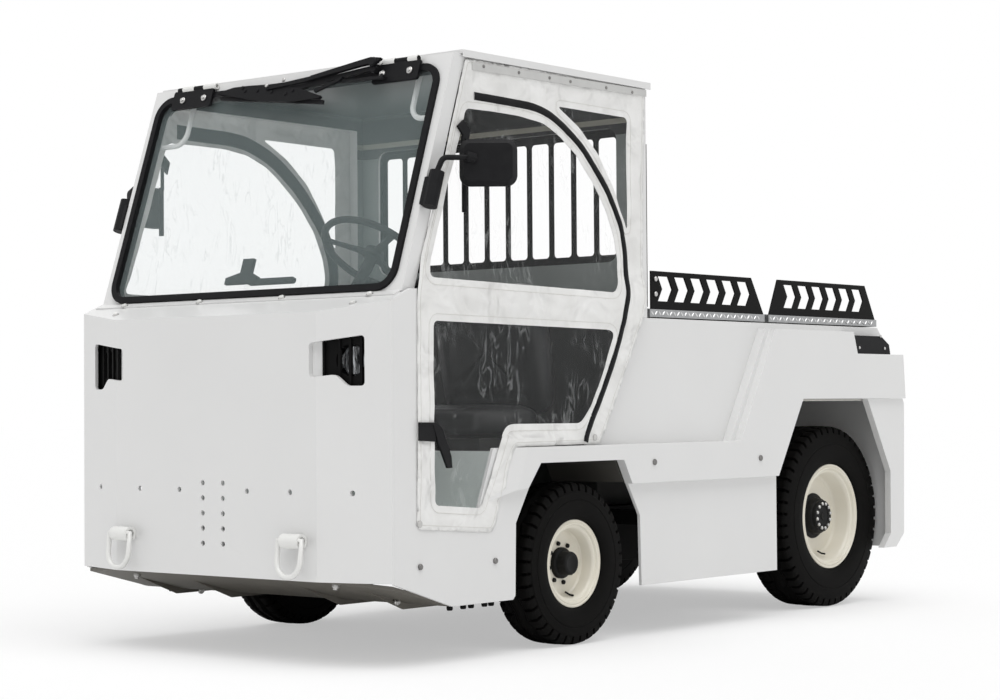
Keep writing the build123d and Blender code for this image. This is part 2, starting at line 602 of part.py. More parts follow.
# Latch of the opening windscreen, on the inside of the glass
with BuildPart() as screen_latch:
    with BuildSketch(screen_plane.offset(-14 - SEAT_GAP)):
        with BuildLine():
            Polyline((-123, 62), (-123, 84), (-60, 100), (-60, 148), (-10, 148), (-10, 100), (26, 84), (26, 62),
                     close=True)
        make_face()
        with Locations((90, 66)):
            RectangleRounded(210, 20, 9)
    extrude(amount=-12)
save(screen_latch, "screen_latch")

# Wiper: pivot, two arms and the blade
with BuildPart() as wiper:
    with BuildSketch(screen_plane.offset(24)):
        with BuildLine():
            Polyline((390, SEAL_TOP - 12), (118, SEAL_TOP - 38), (-64, SEAL_TOP - 77), (-60, SEAL_TOP - 62),
                     (118, SEAL_TOP - 20), (386, SEAL_TOP + 5), close=True)
        make_face()
        with BuildLine():
            Polyline((435, SEAL_TOP - 46), (23, SEAL_TOP - 38), (23, SEAL_TOP - 30), (435, SEAL_TOP - 37), close=True)
        make_face()
    extrude(amount=9)
    with BuildSketch(screen_plane.offset(20)):
        with BuildLine():
            Polyline((-313, SEAL_TOP - 46), (-313, SEAL_TOP - 32), (184, SEAL_TOP - 94), (184, SEAL_TOP - 108),
                     close=True)
        make_face()
    extrude(amount=7)
    # Pivots on the hinge plate
    with BuildSketch(screen_plane.offset(SEAL_PROUD + 8 + SEAT_GAP)):
        with Locations((388, SEAL_TOP - 10)):
            RegularPolygon(12, 12)
        with Locations((432, SEAL_TOP - 41)):
            RegularPolygon(8, 12)
    extrude(amount=20)
save(wiper, "wiper")

# Rear window guard: black plate with upright rounded slots, on two spacers
GUARD_SLOTS = 11
GUARD_PITCH = 101.0
with BuildPart() as rear_guard:
    with BuildSketch(xz_plane(CAB_REAR_Y + 22)):
        with Locations((0, WINDOW_Z)):
            RectangleRounded(2 * CAB_X - 182, 520, 45)
            with GridLocations(GUARD_PITCH, 0, GUARD_SLOTS, 1):
                RectangleRounded(GUARD_PITCH - 23, 414, 14, mode=Mode.SUBTRACT)
    extrude(amount=4)
    for side, _ in SIDES:
        with Locations((side * (CAB_X - 106), CAB_REAR_Y + 9.2, WINDOW_Z)):
            Box(20, 18, 400)
save(rear_guard, "rear_guard")

# Door curtains: they lie on the cab frame above and on the side panel below, with cut panes
CURTAIN_T = 5.0
CURTAIN_TOP_X = CAB_X + SEAT_GAP
CURTAIN_LOW_X = PANEL_X + SEAT_GAP
BEND_Z0, BEND_Z1 = CAB_BASE_Z + 1.0, CAB_BASE_Z + 13.0
PANES = (  # straight run, then the curved run back to its first point
    (((-362, 1175), (-1295, 1190), (-1308, 1206), (-1121, 1729), (-852, 1730)),
     ((-852, 1730), (-639, 1681), (-464, 1545), (-342, 1358), (-326, 1270), (-362, 1175))),
    (((-653, 1781), (-270, 1779), (-270, 1389)),
     ((-270, 1389), (-346, 1528), (-470, 1674), (-653, 1781))),
    (((-375, 1034), (-399, 1048), (-1303, 1057), (-1299, 491), (-1081, 474), (-970, 708), (-924, 736), (-568, 735)),
     ((-568, 735), (-513, 785), (-446, 885), (-375, 1034))))


def pane_solids(x, panes, grow, thickness):
    """Clear panes, or what cuts their openings: outlines at the given X, each grown about its middle."""
    with BuildPart() as solids:
        for straight, curve in panes:
            with BuildSketch(Plane.XY) as pane:
                with BuildLine():
                    Polyline(*straight)
                    Spline(*curve)
                make_face()
            box = pane.sketch.bounding_box()
            middle = Location(box.center())
            shape = pane.sketch.moved(middle.inverse())
            grown = scale(shape, by=(1 + 2 * grow / box.size.X, 1 + 2 * grow / box.size.Y, 1), mode=Mode.PRIVATE)
            extrude(yz_plane(x) * (middle * grown), amount=thickness)
    return solids.part


with BuildPart() as door_curtain_left:
    with BuildSketch(xz_plane(CAB_REAR_Y - 11)):
        with BuildLine():
            Polyline(
                (CURTAIN_TOP_X, ROOF_Z - 27), (CURTAIN_TOP_X, BEND_Z1), (CURTAIN_LOW_X, BEND_Z0), (CURTAIN_LOW_X, 394),
                (CURTAIN_LOW_X + CURTAIN_T, 394), (CURTAIN_LOW_X + CURTAIN_T, BEND_Z0 + 2),
                (CURTAIN_TOP_X + CURTAIN_T, BEND_Z1 + 2), (CURTAIN_TOP_X + CURTAIN_T, ROOF_Z - 27), close=True)
        make_face()
    extrude(amount=1240)
    with BuildSketch(yz_plane(600)):
        with BuildLine():
            Polyline(
                (-1381, 420), (-1374, CAB_BASE_Z - 5), (-1090, ROOF_Z - 20), (-162, ROOF_Z - 20), (-183, CAB_BASE_Z + 3),
                (-208, 1084), (-456, 667), (-1010, 667), (-1064, 473), (-1070, 410), (-1088, 396), close=True)
        make_face()
    extrude(amount=200, mode=Mode.INTERSECT)
    add(pane_solids(600, PANES, 0, 200), mode=Mode.SUBTRACT)
save(door_curtain_left, "door_curtain_left")
with BuildPart() as door_curtain_right:
    mirror(door_curtain_left.part, about=Plane.YZ)
save(door_curtain_right, "door_curtain_right")

# Clear panes, behind the edges of their openings
PANE_T = 2.0
with BuildPart() as door_panes_left:
    add(pane_solids(CURTAIN_TOP_X - SEAT_GAP - PANE_T, PANES[:2], 7, PANE_T))
    add(pane_solids(CURTAIN_LOW_X - SEAT_GAP - PANE_T, PANES[2:], 7, PANE_T))
save(door_panes_left, "door_panes_left")
with BuildPart() as door_panes_right:
    mirror(door_panes_left.part, about=Plane.YZ)
save(door_panes_right, "door_panes_right")

# Straps and clips that lie on the curtains
STRAP_X = CURTAIN_LOW_X + CURTAIN_T + SEAT_GAP
CLIP_X = CURTAIN_TOP_X + CURTAIN_T + SEAT_GAP
with BuildPart() as straps_left:
    add(plate(yz_plane(STRAP_X), [(-1378, 738), (-1316, 738), (-1296, 690), (-1250, 604), (-1228, 604), (-1232, 640),
                                  (-1272, 726), (-1300, 745), (-1378, 746)], 8))
    add(plate(yz_plane(STRAP_X), [(-1378, 690), (-1378, 746), (-1310, 742), (-1302, 686)], 6))
    add(plate(yz_plane(CLIP_X), [(-1120, 1618), (-1168, 1668), (-1140, 1690), (-1108, 1660)], 8))
    with BuildSketch(Plane.XY.offset(1400)):
        with Locations((CLIP_X + 9.5, -1142)):
            RegularPolygon(9, 12)
    extrude(amount=170)
    with Locations((CLIP_X + 4, -1142, 1600)):
        Box(8, 10, 80)
with BuildPart() as door_straps:
    add(straps_left.part)
    mirror(straps_left.part, about=Plane.YZ)
save(door_straps, "door_straps")

# Screw strips that hold the curtains under the roof's edge
STRIP_X = CURTAIN_TOP_X + CURTAIN_T + SEAT_GAP
STRIP_Z = ROOF_Z - 61.0
with BuildPart() as roof_strips:
    for side, _ in SIDES:
        add(plate(yz_plane(side * (STRIP_X + 2) - 2), [
            (-1093, STRIP_Z), (CAB_REAR_Y - 7, STRIP_Z + 10), (CAB_REAR_Y - 7, STRIP_Z + 34), (-1093, STRIP_Z + 26)], 4))
save(roof_strips, "roof_strips")

DASH_TOP_Z = 1120.0
with BuildPart() as dashboard:
    with BuildSketch(yz_plane(-(PANEL_X - SKIN - SEAT_GAP))) as dash:
        with BuildLine():
            Polyline((-1415, DASH_TOP_Z - 80), (-1415, DASH_TOP_Z - 25), (-1365, DASH_TOP_Z - 25), (-1365, DASH_TOP_Z - 4),
                     (-1300, DASH_TOP_Z), (-1240, DASH_TOP_Z - 20),
                     (-1240, DASH_TOP_Z - 80), close=True)
        make_face()
        fillet([v for v in dash.vertices() if v.X > -1350 and v.Y > DASH_TOP_Z - 30], 12)
    extrude(amount=2 * (PANEL_X - SKIN - SEAT_GAP))
save(dashboard, "dashboard")

# Steering wheel on its column
WHEEL_C = (280.0, -1105.0, 1290.0)
RIM_R = 175.0
RIM_BAR_R = 12.0
wheel_plane = Plane(origin=WHEEL_C, x_dir=(1, 0, 0), z_dir=(0, 0.6, 0.8))
with BuildPart() as steering_wheel:
    with BuildSketch(Plane(origin=WHEEL_C, x_dir=(1, 0, 0), z_dir=wheel_plane.y_dir)):
        with Locations((RIM_R, 0)):
            RegularPolygon(RIM_BAR_R, 6)
    revolve(axis=Axis(WHEEL_C, wheel_plane.z_dir))
    with BuildSketch(wheel_plane.offset(-15)):
        RegularPolygon(36, 16)
    extrude(amount=30, taper=8)
    with BuildSketch(wheel_plane.offset(-4)):
        with PolarLocations(0, 3, start_angle=90):
            with BuildLine():
                Polyline((20, -16), (RIM_R - 4, -9), (RIM_R - 4, 9), (20, 16), close=True)
            make_face()
    extrude(amount=8)
    with BuildSketch(wheel_plane.offset(-10)):
        RegularPolygon(20, 12)
    extrude(amount=-240)
    add(dashboard.part, mode=Mode.SUBTRACT)
    largest = steering_wheel.solids().sort_by(SortBy.VOLUME)[-1]
with BuildPart() as steering_kept:
    add(largest)
save(steering_kept, "steering_wheel")

# Seats: a cushion and a leaning back, each a rounded pad
SEAT_X = 320.0
SEAT_W = 470.0
SEATS = (("driver_seat", SEAT_X), ("passenger_seat", -SEAT_X))
CUSHION = ((-900, 40), (-920, 150), (-640, 132), (-600, 40))    # (y, height above the seat deck)
BACKREST = ((-599.7, 40), (-639.7, 132), (-560, 560), (-440, 575), (-480, 40))
for name, x in SEATS:
    with BuildPart() as seat:
        for pad, rounded in ((CUSHION, 140), (BACKREST, 500)):
            with BuildPart() as cushion:
                with BuildSketch(yz_plane(x - SEAT_W / 2)) as profile:
                    with BuildLine():
                        Polyline([(y, SEAT_DECK_Z + height) for y, height in pad], close=True)
                    make_face()
                    fillet([v for v in profile.vertices() if v.Y > SEAT_DECK_Z + rounded], 32)
                extrude(amount=SEAT_W)
                sides = cushion.faces().filter_by(Axis.X)
                chamfer(sides.edges().filter_by(lambda e: e.center().Z > SEAT_DECK_Z + rounded - 60), 14)
            add(cushion.part)
    save(seat, name)

# Mirrors: the left one is folded out, the right one is folded back along the cab
MIRROR_FOOT = (714.0, -1304.0, 1460.0)
MIRRORS = (  # name, side, arm path, head centre, head turn
    ("mirror_left", 1, ((714, -1290, 1510), (722, -1268, 1560), (776, -1200, 1561)), (800, -1143, 1548), 40),
    ("mirror_right", -1, ((-714, -1290, 1510), (-722, -1260, 1530), (-786, -1180, 1530)), (-826, -1110, 1510), -75))
mirrors = {}
for name, side, arm, head, turn in MIRRORS:
    with BuildPart() as mirror_part:
        with Locations(Location((side * MIRROR_FOOT[0], MIRROR_FOOT[1], MIRROR_FOOT[2]), (-lean, 0, 0))):
            with BuildSketch(Plane(Location((side * MIRROR_FOOT[0], *MIRROR_FOOT[1:]), (-lean, 0, 0))).offset(-58)):
                RegularPolygon(24, 12)
            extrude(amount=116)
            with Locations((-side * 20, 0, -10)):
                Box(16, 40, 90)
        add(tube(Plane.XY, arm, 9, 22))
        to_head = Vector(*head) - Vector(*arm[-1])
        with BuildSketch(Plane(origin=arm[-1], z_dir=to_head)):
            RegularPolygon(9, 8)
        extrude(amount=to_head.length)
        with BuildSketch(Plane(origin=arm[-1], z_dir=to_head).offset(-14)):
            RegularPolygon(17, 12)
        extrude(amount=28)
        # Head: flat glass side at the back, crowned shell in front
        back = Plane(Location(head, (90, turn, 0)))
        with BuildSketch(back):
            RectangleRounded(180, 146, 34)
        extrude(amount=24, taper=32)
        with BuildSketch(back):
            RectangleRounded(180, 146, 34)
        extrude(amount=-20)
    mirrors[name] = mirror_part
for name, mirror_part in mirrors.items():
    save(mirror_part, name)

# Tow rings: U-shaped bars that hang from rolled lugs on the front panel
RING_X = (-403.0, 378.0)
LUG_R = 23.0
LUG_Z = 385.0
RING_HALF = 50.0
RING_BAR = 7.5
with BuildPart() as tow_rings:
    for x in RING_X:
        with BuildSketch(yz_plane(x - 59)):
            with Locations((FRONT_Y - LUG_R - 0.5, LUG_Z)):
                RegularPolygon(LUG_R, 16)
                RegularPolygon(LUG_R - 9, 16, mode=Mode.SUBTRACT)
        extrude(amount=118)
        add(tube(Plane(origin=(x, FRONT_Y - LUG_R - 12, LUG_Z), x_dir=(1, 0, 0), z_dir=(0, -1, 0.12)), [
            (-RING_HALF, 6), (-RING_HALF, -110), (RING_HALF, -110), (RING_HALF, 6)], RING_BAR, RING_HALF - 2))
save(tow_rings, "tow_rings")

with BuildPart() as tail_lamps:
    for side, _ in SIDES:
        add(plate(yz_plane(side * (RECESS_X + 22.5) - 22), [
            (NOTCH_Y + 42, REAR_TOP_Z + SEAT_GAP), (NOTCH_Y + 22, REAR_TOP_Z + 72), (NOTCH_Y + 240, REAR_TOP_Z + 72),
            (NOTCH_Y + 300, REAR_TOP_Z + 40), (NOTCH_Y + 310, REAR_TOP_Z + SEAT_GAP)], 44))
save(tail_lamps, "tail_lamps")

# Steering knuckles with stub axles
STUB_R = 20.5
for side, name in SIDES:
    with BuildPart() as knuckle:
        with BuildSketch(Plane(origin=(side * KINGPIN_X, FRONT_AXLE_Y, FRONT_R - 60))):
            RegularPolygon(KNUCKLE_R - 2, 16)
        extrude(amount=120)
        with Locations((side * KINGPIN_X, FRONT_AXLE_Y, FRONT_R)):
            Cylinder(PIN_R, 150)
        with BuildSketch(yz_plane(side * (KINGPIN_X + 64) - 64)):
            with Locations((FRONT_AXLE_Y, FRONT_R)):
                Circle(STUB_R)
        extrude(amount=128)
        with Locations((side * (KINGPIN_X + 10), FRONT_AXLE_Y + 60, FRONT_R - 30)):
            Box(20, 110, 18)
    save(knuckle, f"knuckle_{name}")

WHEEL_SIDES = 32


def banded(points, x, y, z):
    """Many-sided turned form with flat facets: rings given as (offset along the axle, half width across flats)."""
    turns = [radians((2 * n + 1) * 180 / WHEEL_SIDES) for n in range(WHEEL_SIDES)]
    rings = []
    for along, reach in points:
        corner = reach / cos(radians(180 / WHEEL_SIDES))
        rings.append([Vector(x + along, y + corner * cos(a), z + corner * sin(a)) for a in turns])
    skin = [Face(Wire.make_polygon(ring)) for ring in (rings[0], rings[-1])]
    for ring, following in zip(rings, rings[1:]):
        for n in range(WHEEL_SIDES):
            skin.append(Face(Wire.make_polygon((ring[n - 1], ring[n], following[n], following[n - 1]))))
    return Solid(Shell(skin))


WHEELS = (  # name, x, y, tyre radius, tyre half width, rim radius, rim half width, shaft, bore depth, hub, dish
    ("front", FRONT_X, FRONT_AXLE_Y, FRONT_R, 77.5, 146.0, 64.0, STUB_R, 46.0, 112.0),
    ("rear", REAR_X, REAR_AXLE_Y, REAR_R, 95.0, 204.0, 84.0, SHAFT_R, 88.0, 160.0))
for name, x, y, r, half, lip, rim_half, shaft, hub, dish in WHEELS:
    well = lip - 19
    with BuildPart() as tyre:
        add(banded((
            (0.3 - rim_half + 10, lip + 1), (3 - half + 8, lip + 7), (-half, (lip + r) / 2), (10 - half, r - 7),
            (26 - half, r), (half - 26, r), (half - 10, r - 7), (half, (lip + r) / 2), (half - 11, lip + 7),
            (rim_half - 10.3, lip + 1)), x, y, r))
        add(banded(((-rim_half, well + SEAT_GAP), (rim_half, well + SEAT_GAP)), x, y, r), mode=Mode.SUBTRACT)
        # Shoulder notches, alternating from side to side
        width = 0.5 * 2 * r * tan(radians(180 / WHEEL_SIDES))
        for end in (0, 1):
            for n in range(WHEEL_SIDES // 2):
                place = Location((x, y, r), ((2 * n + end) * 360 / WHEEL_SIDES, 0, 0))
                with Locations(place * Location(((1 - 2 * end) * half, 0, r))):
                    Box(half * 0.8, width, 26, mode=Mode.SUBTRACT)
    save(tyre, f"{name}_tyre_left")
    with BuildPart() as tyre_right:
        mirror(tyre.part, about=Plane.YZ)
    save(tyre_right, f"{name}_tyre_right")
    with BuildPart() as rim:
        add(banded(((-rim_half, lip), (6 - rim_half, lip), (10 - rim_half, well), (rim_half - 10, well),
                    (rim_half - 6, lip), (rim_half, lip)), x, y, r))
        add(banded(((5, dish), (rim_half - 6, dish + 8), (rim_half + 1, lip - 6)), x, y, r), mode=Mode.SUBTRACT)
        add(banded(((-rim_half - 1, lip - 6), (6 - rim_half, dish + 8), (-5, dish)), x, y, r), mode=Mode.SUBTRACT)
        with BuildSketch(yz_plane(x - 36)):
            with Locations((y, r)):
                RegularPolygon(hub, 16)
        extrude(amount=66, taper=4)
        with BuildSketch(yz_plane(x + 4)):
            with Locations((y, r)):
                with PolarLocations(hub + 14, 10):
                    RegularPolygon(8, 6)
        extrude(amount=12)
        with BuildSketch(yz_plane(x - 40)):
            with Locations((y, r)):
                Circle(shaft + 0.08)
        extrude(amount=66, mode=Mode.SUBTRACT)
    save(rim, f"{name}_rim_left")
    with BuildPart() as rim_right:
        mirror(rim.part, about=Plane.YZ)
    save(rim_right, f"{name}_rim_right")

# Deck lids: shallow trays hinged along the right edge, and their slotted side rails
RAIL_T = 6.0
REBATE = 12.0
CHEVRON_PITCH = 100.0
for name, y0, y1, r0, r1, r2, r3, hinges in LIDS:
    with BuildPart() as lid:
        with Locations((0, (y0 + y1) / 2, DECK_Z - LID_T / 2)):
            Box(2 * RECESS_X, y1 - y0, LID_T)
        with Locations((0, (y0 + y1) / 2, DECK_Z - 8 - LID_T / 2)):
            Box(2 * RECESS_X - 16, y1 - y0 - 16, LID_T, mode=Mode.SUBTRACT)
        # Low steps along both edges, for the rails
        for side, _ in SIDES:
            with Locations((side * (RECESS_X - REBATE / 2), (y0 + y1) / 2, DECK_Z)):
                Box(REBATE, y1 - y0, 4, mode=Mode.SUBTRACT)
        # Barrels of the two hinges on the right edge
        for y in hinges:
            with Locations((HINGE_X + 3, y, HINGE_Z + 6)):
                Box(16, HINGE_LEN, 16)
            with BuildSketch(xz_plane(y + HINGE_LEN / 2)):
                with Locations((HINGE_X, HINGE_Z)):
                    Circle(9)
            extrude(amount=HINGE_LEN)
            with BuildSketch(xz_plane(y + HINGE_LEN / 2)):
                with Locations((HINGE_X, HINGE_Z)):
                    Circle(HINGE_PIN_R + 0.06)
            extrude(amount=HINGE_LEN, mode=Mode.SUBTRACT)
    save(lid, f"deck_lid_{name}")
    with BuildPart() as rails:
        for x0 in (-RECESS_X + 4, RECESS_X - 4 - RAIL_T):
            with BuildSketch(yz_plane(x0)):
                with BuildLine():
                    Polyline((r0, DECK_Z - 2 + SEAT_GAP), (r1, RAIL_TOP_Z), (r2, RAIL_TOP_Z), (r3, DECK_Z - 2 + SEAT_GAP),
                             close=True)
                make_face()
                # Chevrons that point to the rear
                for n in range(6):
                    c = r1 + 42 + CHEVRON_PITCH * n
                    with BuildLine():
                        Polyline(
                            (c, RAIL_TOP_Z - 105), (c + 26, RAIL_TOP_Z - 62), (c, RAIL_TOP_Z - 18),
                            (c + 62, RAIL_TOP_Z - 18), (c + 88, RAIL_TOP_Z - 62), (c + 62, RAIL_TOP_Z - 105), close=True)
                    make_face(mode=Mode.SUBTRACT)
            extrude(amount=RAIL_T)
    save(rails, f"deck_rails_{name}")
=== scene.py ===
from math import cos, pi, radians, sin

import bpy
import numpy as np
from mathutils import Matrix, Vector, noise
from mathutils.geometry import delaunay_2d_cdt


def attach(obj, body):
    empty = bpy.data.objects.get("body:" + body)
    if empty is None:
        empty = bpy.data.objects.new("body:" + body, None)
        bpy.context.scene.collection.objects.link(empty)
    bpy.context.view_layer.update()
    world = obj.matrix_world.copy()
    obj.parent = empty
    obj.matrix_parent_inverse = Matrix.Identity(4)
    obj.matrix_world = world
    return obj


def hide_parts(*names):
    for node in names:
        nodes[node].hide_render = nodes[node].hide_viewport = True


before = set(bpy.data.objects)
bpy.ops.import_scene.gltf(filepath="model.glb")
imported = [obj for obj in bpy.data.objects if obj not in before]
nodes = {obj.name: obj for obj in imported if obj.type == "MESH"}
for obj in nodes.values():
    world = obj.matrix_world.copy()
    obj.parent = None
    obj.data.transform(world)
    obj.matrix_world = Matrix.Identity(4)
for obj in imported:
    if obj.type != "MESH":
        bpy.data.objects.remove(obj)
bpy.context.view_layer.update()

# Sizes shared with the part, in metres
CAB_X, PANEL_X, PLATE_X, RECESS_X = 0.686, 0.705, 0.731, 0.671
FRONT_Y = -1.560
ROOF_Z, DECK_Z = 1.913, 1.130
LIDS = {"front": (-0.114, 0.619), "rear": (0.646, 1.442)}
RAIL_X = RECESS_X - 0.007
# Middle of each left wheel
FRONT_AXLE = (0.617, -0.570, 0.270)
REAR_AXLE = (0.550, 1.133, 0.353)
# Foot of the windscreen's plane, its lean from the vertical, and the slope of the ledge below it
SCREEN_FOOT = Vector((0, -1.423, 1.143))
LEAN = radians(18.30)
LEDGE_TILT = radians(23)
SIDES = ((1, "left"), (-1, "right"))


# Node helpers
def feed(tree, socket, value):
    """Gives a socket a constant, or links what feeds it."""
    if isinstance(value, bpy.types.NodeSocket):
        tree.links.new(value, socket)
    else:
        socket.default_value = value


def add(tree, kind, inputs=None, **settings):
    """A new shader node. Its inputs are constants or the sockets that feed them."""
    node = tree.nodes.new("ShaderNode" + kind)
    for key, value in settings.items():
        setattr(node, key, value)
    for key, value in (inputs or {}).items():
        feed(tree, node.inputs[key], value)
    return node


def object_place(tree):
    """The place on the surface, in the object's own coordinates."""
    return add(tree, "TexCoord").outputs["Object"]


def cloud(tree, place, **inputs):
    """Noise at a place, from 0 to 1."""
    return add(tree, "TexNoise", {"Vector": place, **inputs}).outputs["Fac"]


def mixed(tree, low, high, factor):
    """A colour between two, by a factor."""
    low, high = ((*c, 1) if isinstance(c, tuple) else c for c in (low, high))
    return add(tree, "Mix", {"A": low, "B": high, "Factor": factor}, data_type="RGBA").outputs["Result"]


def relief(tree, height, strength, distance):
    """Bumps of a distance in metres."""
    return add(tree, "Bump", {"Height": height, "Strength": strength, "Distance": distance}).outputs["Normal"]


def new_material(name):
    m = bpy.data.materials.new(name)
    m.use_nodes = True
    return m, m.node_tree, object_place(m.node_tree)


def paint(tree, inputs):
    """Sets the inputs of a material's surface."""
    for key, value in inputs.items():
        feed(tree, tree.nodes["Principled BSDF"].inputs[key], value)


# Materials
def surface(name, low, high, rough, scale, bump, bump_scale, metallic=0.0, detail=3.0, coat=0.0, rough_spread=0.06,
            distance=0.001, alpha=1.0, shine=0.5):
    """A finish whose colour and roughness drift between two values, with a fine grain."""
    m, tree, place = new_material(name)
    drift = cloud(tree, place, Scale=scale, Detail=detail)
    spread = add(tree, "MapRange", {"Value": drift, "To Min": max(rough - rough_spread, 0.01),
                                    "To Max": min(rough + rough_spread, 1)})
    paint(tree, {
        "Base Color": mixed(tree, low, high, drift), "Roughness": spread.outputs["Result"],
        "Normal": relief(tree, cloud(tree, place, Scale=bump_scale), bump, distance),
        "Metallic": metallic, "Coat Weight": coat, "Alpha": alpha, "Specular IOR Level": shine})
    return m


def crease(m, scale, distance, strength=1.0):
    """Adds soft folds to a finish, under its grain."""
    tree = m.node_tree
    grain = next(node for node in tree.nodes if node.type == "BUMP")
    folds = cloud(tree, object_place(tree), Scale=scale, Detail=2, Distortion=0.5)
    feed(tree, grain.inputs["Normal"], relief(tree, folds, strength, distance))


def painted_crinkle_reflections(m, cover, extra):
    """Adds painted reflections of crinkled clear film: thin wavy bands, in patches, where more of the film's pale
    colour covers what lies behind.
    """
    tree = m.node_tree
    bands = ((9, 26, 8), ((0.485, 0), (0.515, 1), (0.56, 0)))
    patches = ((3, 7, 5), ((0.46, 0), (0.60, 1)))
    layers = []
    for scale, stops in (bands, patches):
        stretch = add(tree, "Mapping", {"Vector": object_place(tree), "Scale": scale})
        waves = cloud(tree, stretch.outputs["Vector"], Scale=1, Detail=2, Distortion=0.9)
        ramp = add(tree, "ValToRGB", {"Fac": waves})
        while len(ramp.color_ramp.elements) < len(stops):
            ramp.color_ramp.elements.new(0.5)
        for element, (at, level) in zip(ramp.color_ramp.elements, stops):
            element.position, element.color = at, (level, level, level, 1)
        layers.append(ramp.outputs["Color"])
    both = add(tree, "Math", {0: layers[0], 1: layers[1]}, operation="MULTIPLY")
    reach = add(tree, "MapRange", {"Value": both.outputs["Value"], "To Min": cover, "To Max": cover + extra})
    paint(tree, {"Alpha": reach.outputs["Result"]})


def lens_glass():
    """Lamp lens over its reflector: bright and dark upright flutes, painted reflections of the reflector in the lens's
    colour.
    """
    m, tree, place = new_material("lamp_lens")
    squeeze = add(tree, "Mapping", {"Vector": place, "Scale": (150, 150, 22)})
    flutes = cloud(tree, squeeze.outputs["Vector"], Scale=1, Detail=4)
    # Painted reflections: the flutes' colour runs from near black to bright grey
    tone = add(tree, "ValToRGB", {"Fac": flutes})
    for element, at, colour in zip(tone.color_ramp.elements, (0.42, 0.62),
                                   ((0.015, 0.016, 0.018, 1), (0.62, 0.64, 0.66, 1))):
        element.position, element.color = at, colour
    paint(tree, {"Base Color": tone.outputs["Color"], "Normal": relief(tree, flutes, 0.4, 0.002),
                 "Metallic": 0.6, "Roughness": 0.16, "Coat Weight": 0.5})
    return m


def tread_plate():
    """Bright sheet metal, a little duller than the lugs on it."""
    m, tree, place = new_material("tread_plate")
    paint(tree, {"Base Color": mixed(tree, (0.28, 0.285, 0.29), (0.42, 0.425, 0.43), cloud(tree, place, Scale=40)),
                 "Metallic": 0.9, "Roughness": 0.33})
    return m


def two_tone(name, axis, level, below, above, rough, **drift):
    """One drifting pair of colours up to a level along an axis, and another past it."""
    m, tree, place = new_material(name)
    split = add(tree, "SeparateXYZ", {"Vector": place})
    past = add(tree, "Math", {0: split.outputs[axis], 1: level}, operation="GREATER_THAN").outputs[0]
    dirt = cloud(tree, place, **drift)
    tones = [mixed(tree, *pair, dirt) for pair in (below, above)]
    paint(tree, {"Base Color": mixed(tree, *tones, past), "Roughness": rough})
    return m


def cab_paint_and_painted_shade(name):
    """White outside. Inside, painted shade: grey-green walls and a dark ceiling; dark trim near the roof with a beige
    bar.
    """
    m, tree, place = new_material(name)
    split = add(tree, "SeparateXYZ", {"Vector": place}).outputs

    def step(kind, *values):
        return add(tree, "Math", dict(enumerate(values)), operation=kind).outputs[0]

    # What lies inside: between the side walls, ahead of the rear wall, behind the windscreen, under the roof
    out = add(tree, "VectorMath", {0: place, 1: (0, -cos(LEAN), sin(LEAN))}, operation="DOT_PRODUCT")
    screen_depth = -SCREEN_FOOT.y * cos(LEAN) + SCREEN_FOOT.z * sin(LEAN) - 0.048
    inside = step("LESS_THAN", step("ABSOLUTE", split["X"]), 0.6465)
    for value, limit in ((split["Y"], -0.1602), (out.outputs["Value"], screen_depth), (split["Z"], ROOF_Z - 0.0117)):
        inside = step("MULTIPLY", inside, step("LESS_THAN", value, limit))

    # Painted shade inside: the white walls darkened to grey-green up to the trim, and the ceiling darkened above it
    wall_foot, wall_height = 1.10, 0.82
    levels = add(tree, "MapRange", {"Value": split["Z"], "From Min": wall_foot, "From Max": wall_foot + wall_height})
    tone = add(tree, "ValToRGB", {"Fac": levels.outputs["Result"]})
    ramp = tone.color_ramp
    ramp.interpolation = "CONSTANT"
    ramp.elements[0].color = (0.26, 0.29, 0.28, 1)
    ramp.elements[1].position, ramp.elements[1].color = 0.780, (0.010, 0.010, 0.010, 1)
    for z, colour in ((1.777, (0.36, 0.35, 0.29, 1)), (1.798, (0.012, 0.012, 0.012, 1)),
                      (1.885, (0.055, 0.06, 0.058, 1))):
        ramp.elements.new((z - wall_foot) / wall_height).color = colour
    outer = mixed(tree, WHITE_LOW, WHITE_HIGH, cloud(tree, place, Scale=3))
    paint(tree, {"Base Color": mixed(tree, outer, tone.outputs["Color"], inside), "Roughness": 0.36,
                 "Coat Weight": 0.15})
    return m


WHITE_LOW, WHITE_HIGH = (0.735, 0.735, 0.73), (0.775, 0.775, 0.77)
# Name, low colour, high colour, roughness, scale of the drift, bump, scale of the bump
white = surface("body_white", WHITE_LOW, WHITE_HIGH, 0.34, 3, 0.03, 60, coat=0.15)
black = surface("frame_black", (0.004, 0.004, 0.004), (0.010, 0.010, 0.010), 0.5, 14, 0.08, 500, shine=0.06)
tape = surface("zip_tape", (0.012, 0.013, 0.014), (0.022, 0.023, 0.025), 0.7, 60, 0.3, 1200, shine=0.15)
lug_metal = surface("lug_bright", (0.55, 0.55, 0.55), (0.75, 0.75, 0.75), 0.3, 60, 0.05, 400, metallic=0.9)
plastic = surface("black_plastic", (0.008, 0.008, 0.009), (0.018, 0.018, 0.019), 0.55, 30, 0.25, 900, shine=0.10)
seal = surface("seal_rubber", (0.005, 0.005, 0.006), (0.012, 0.012, 0.013), 0.5, 30, 0.05, 700, shine=0.10)
rubber = surface("tyre_rubber", (0.002, 0.002, 0.002), (0.0065, 0.006, 0.0055), 0.65, 22, 0.25, 500, detail=6,
                 shine=0.06)
cream = surface("rim_cream", (0.74, 0.69, 0.57), (0.82, 0.79, 0.70), 0.38, 7, 0.04, 150, coat=0.2)
hub_black = surface("hub_black", (0.005, 0.005, 0.005), (0.014, 0.014, 0.014), 0.5, 30, 0.1, 400, shine=0.12)
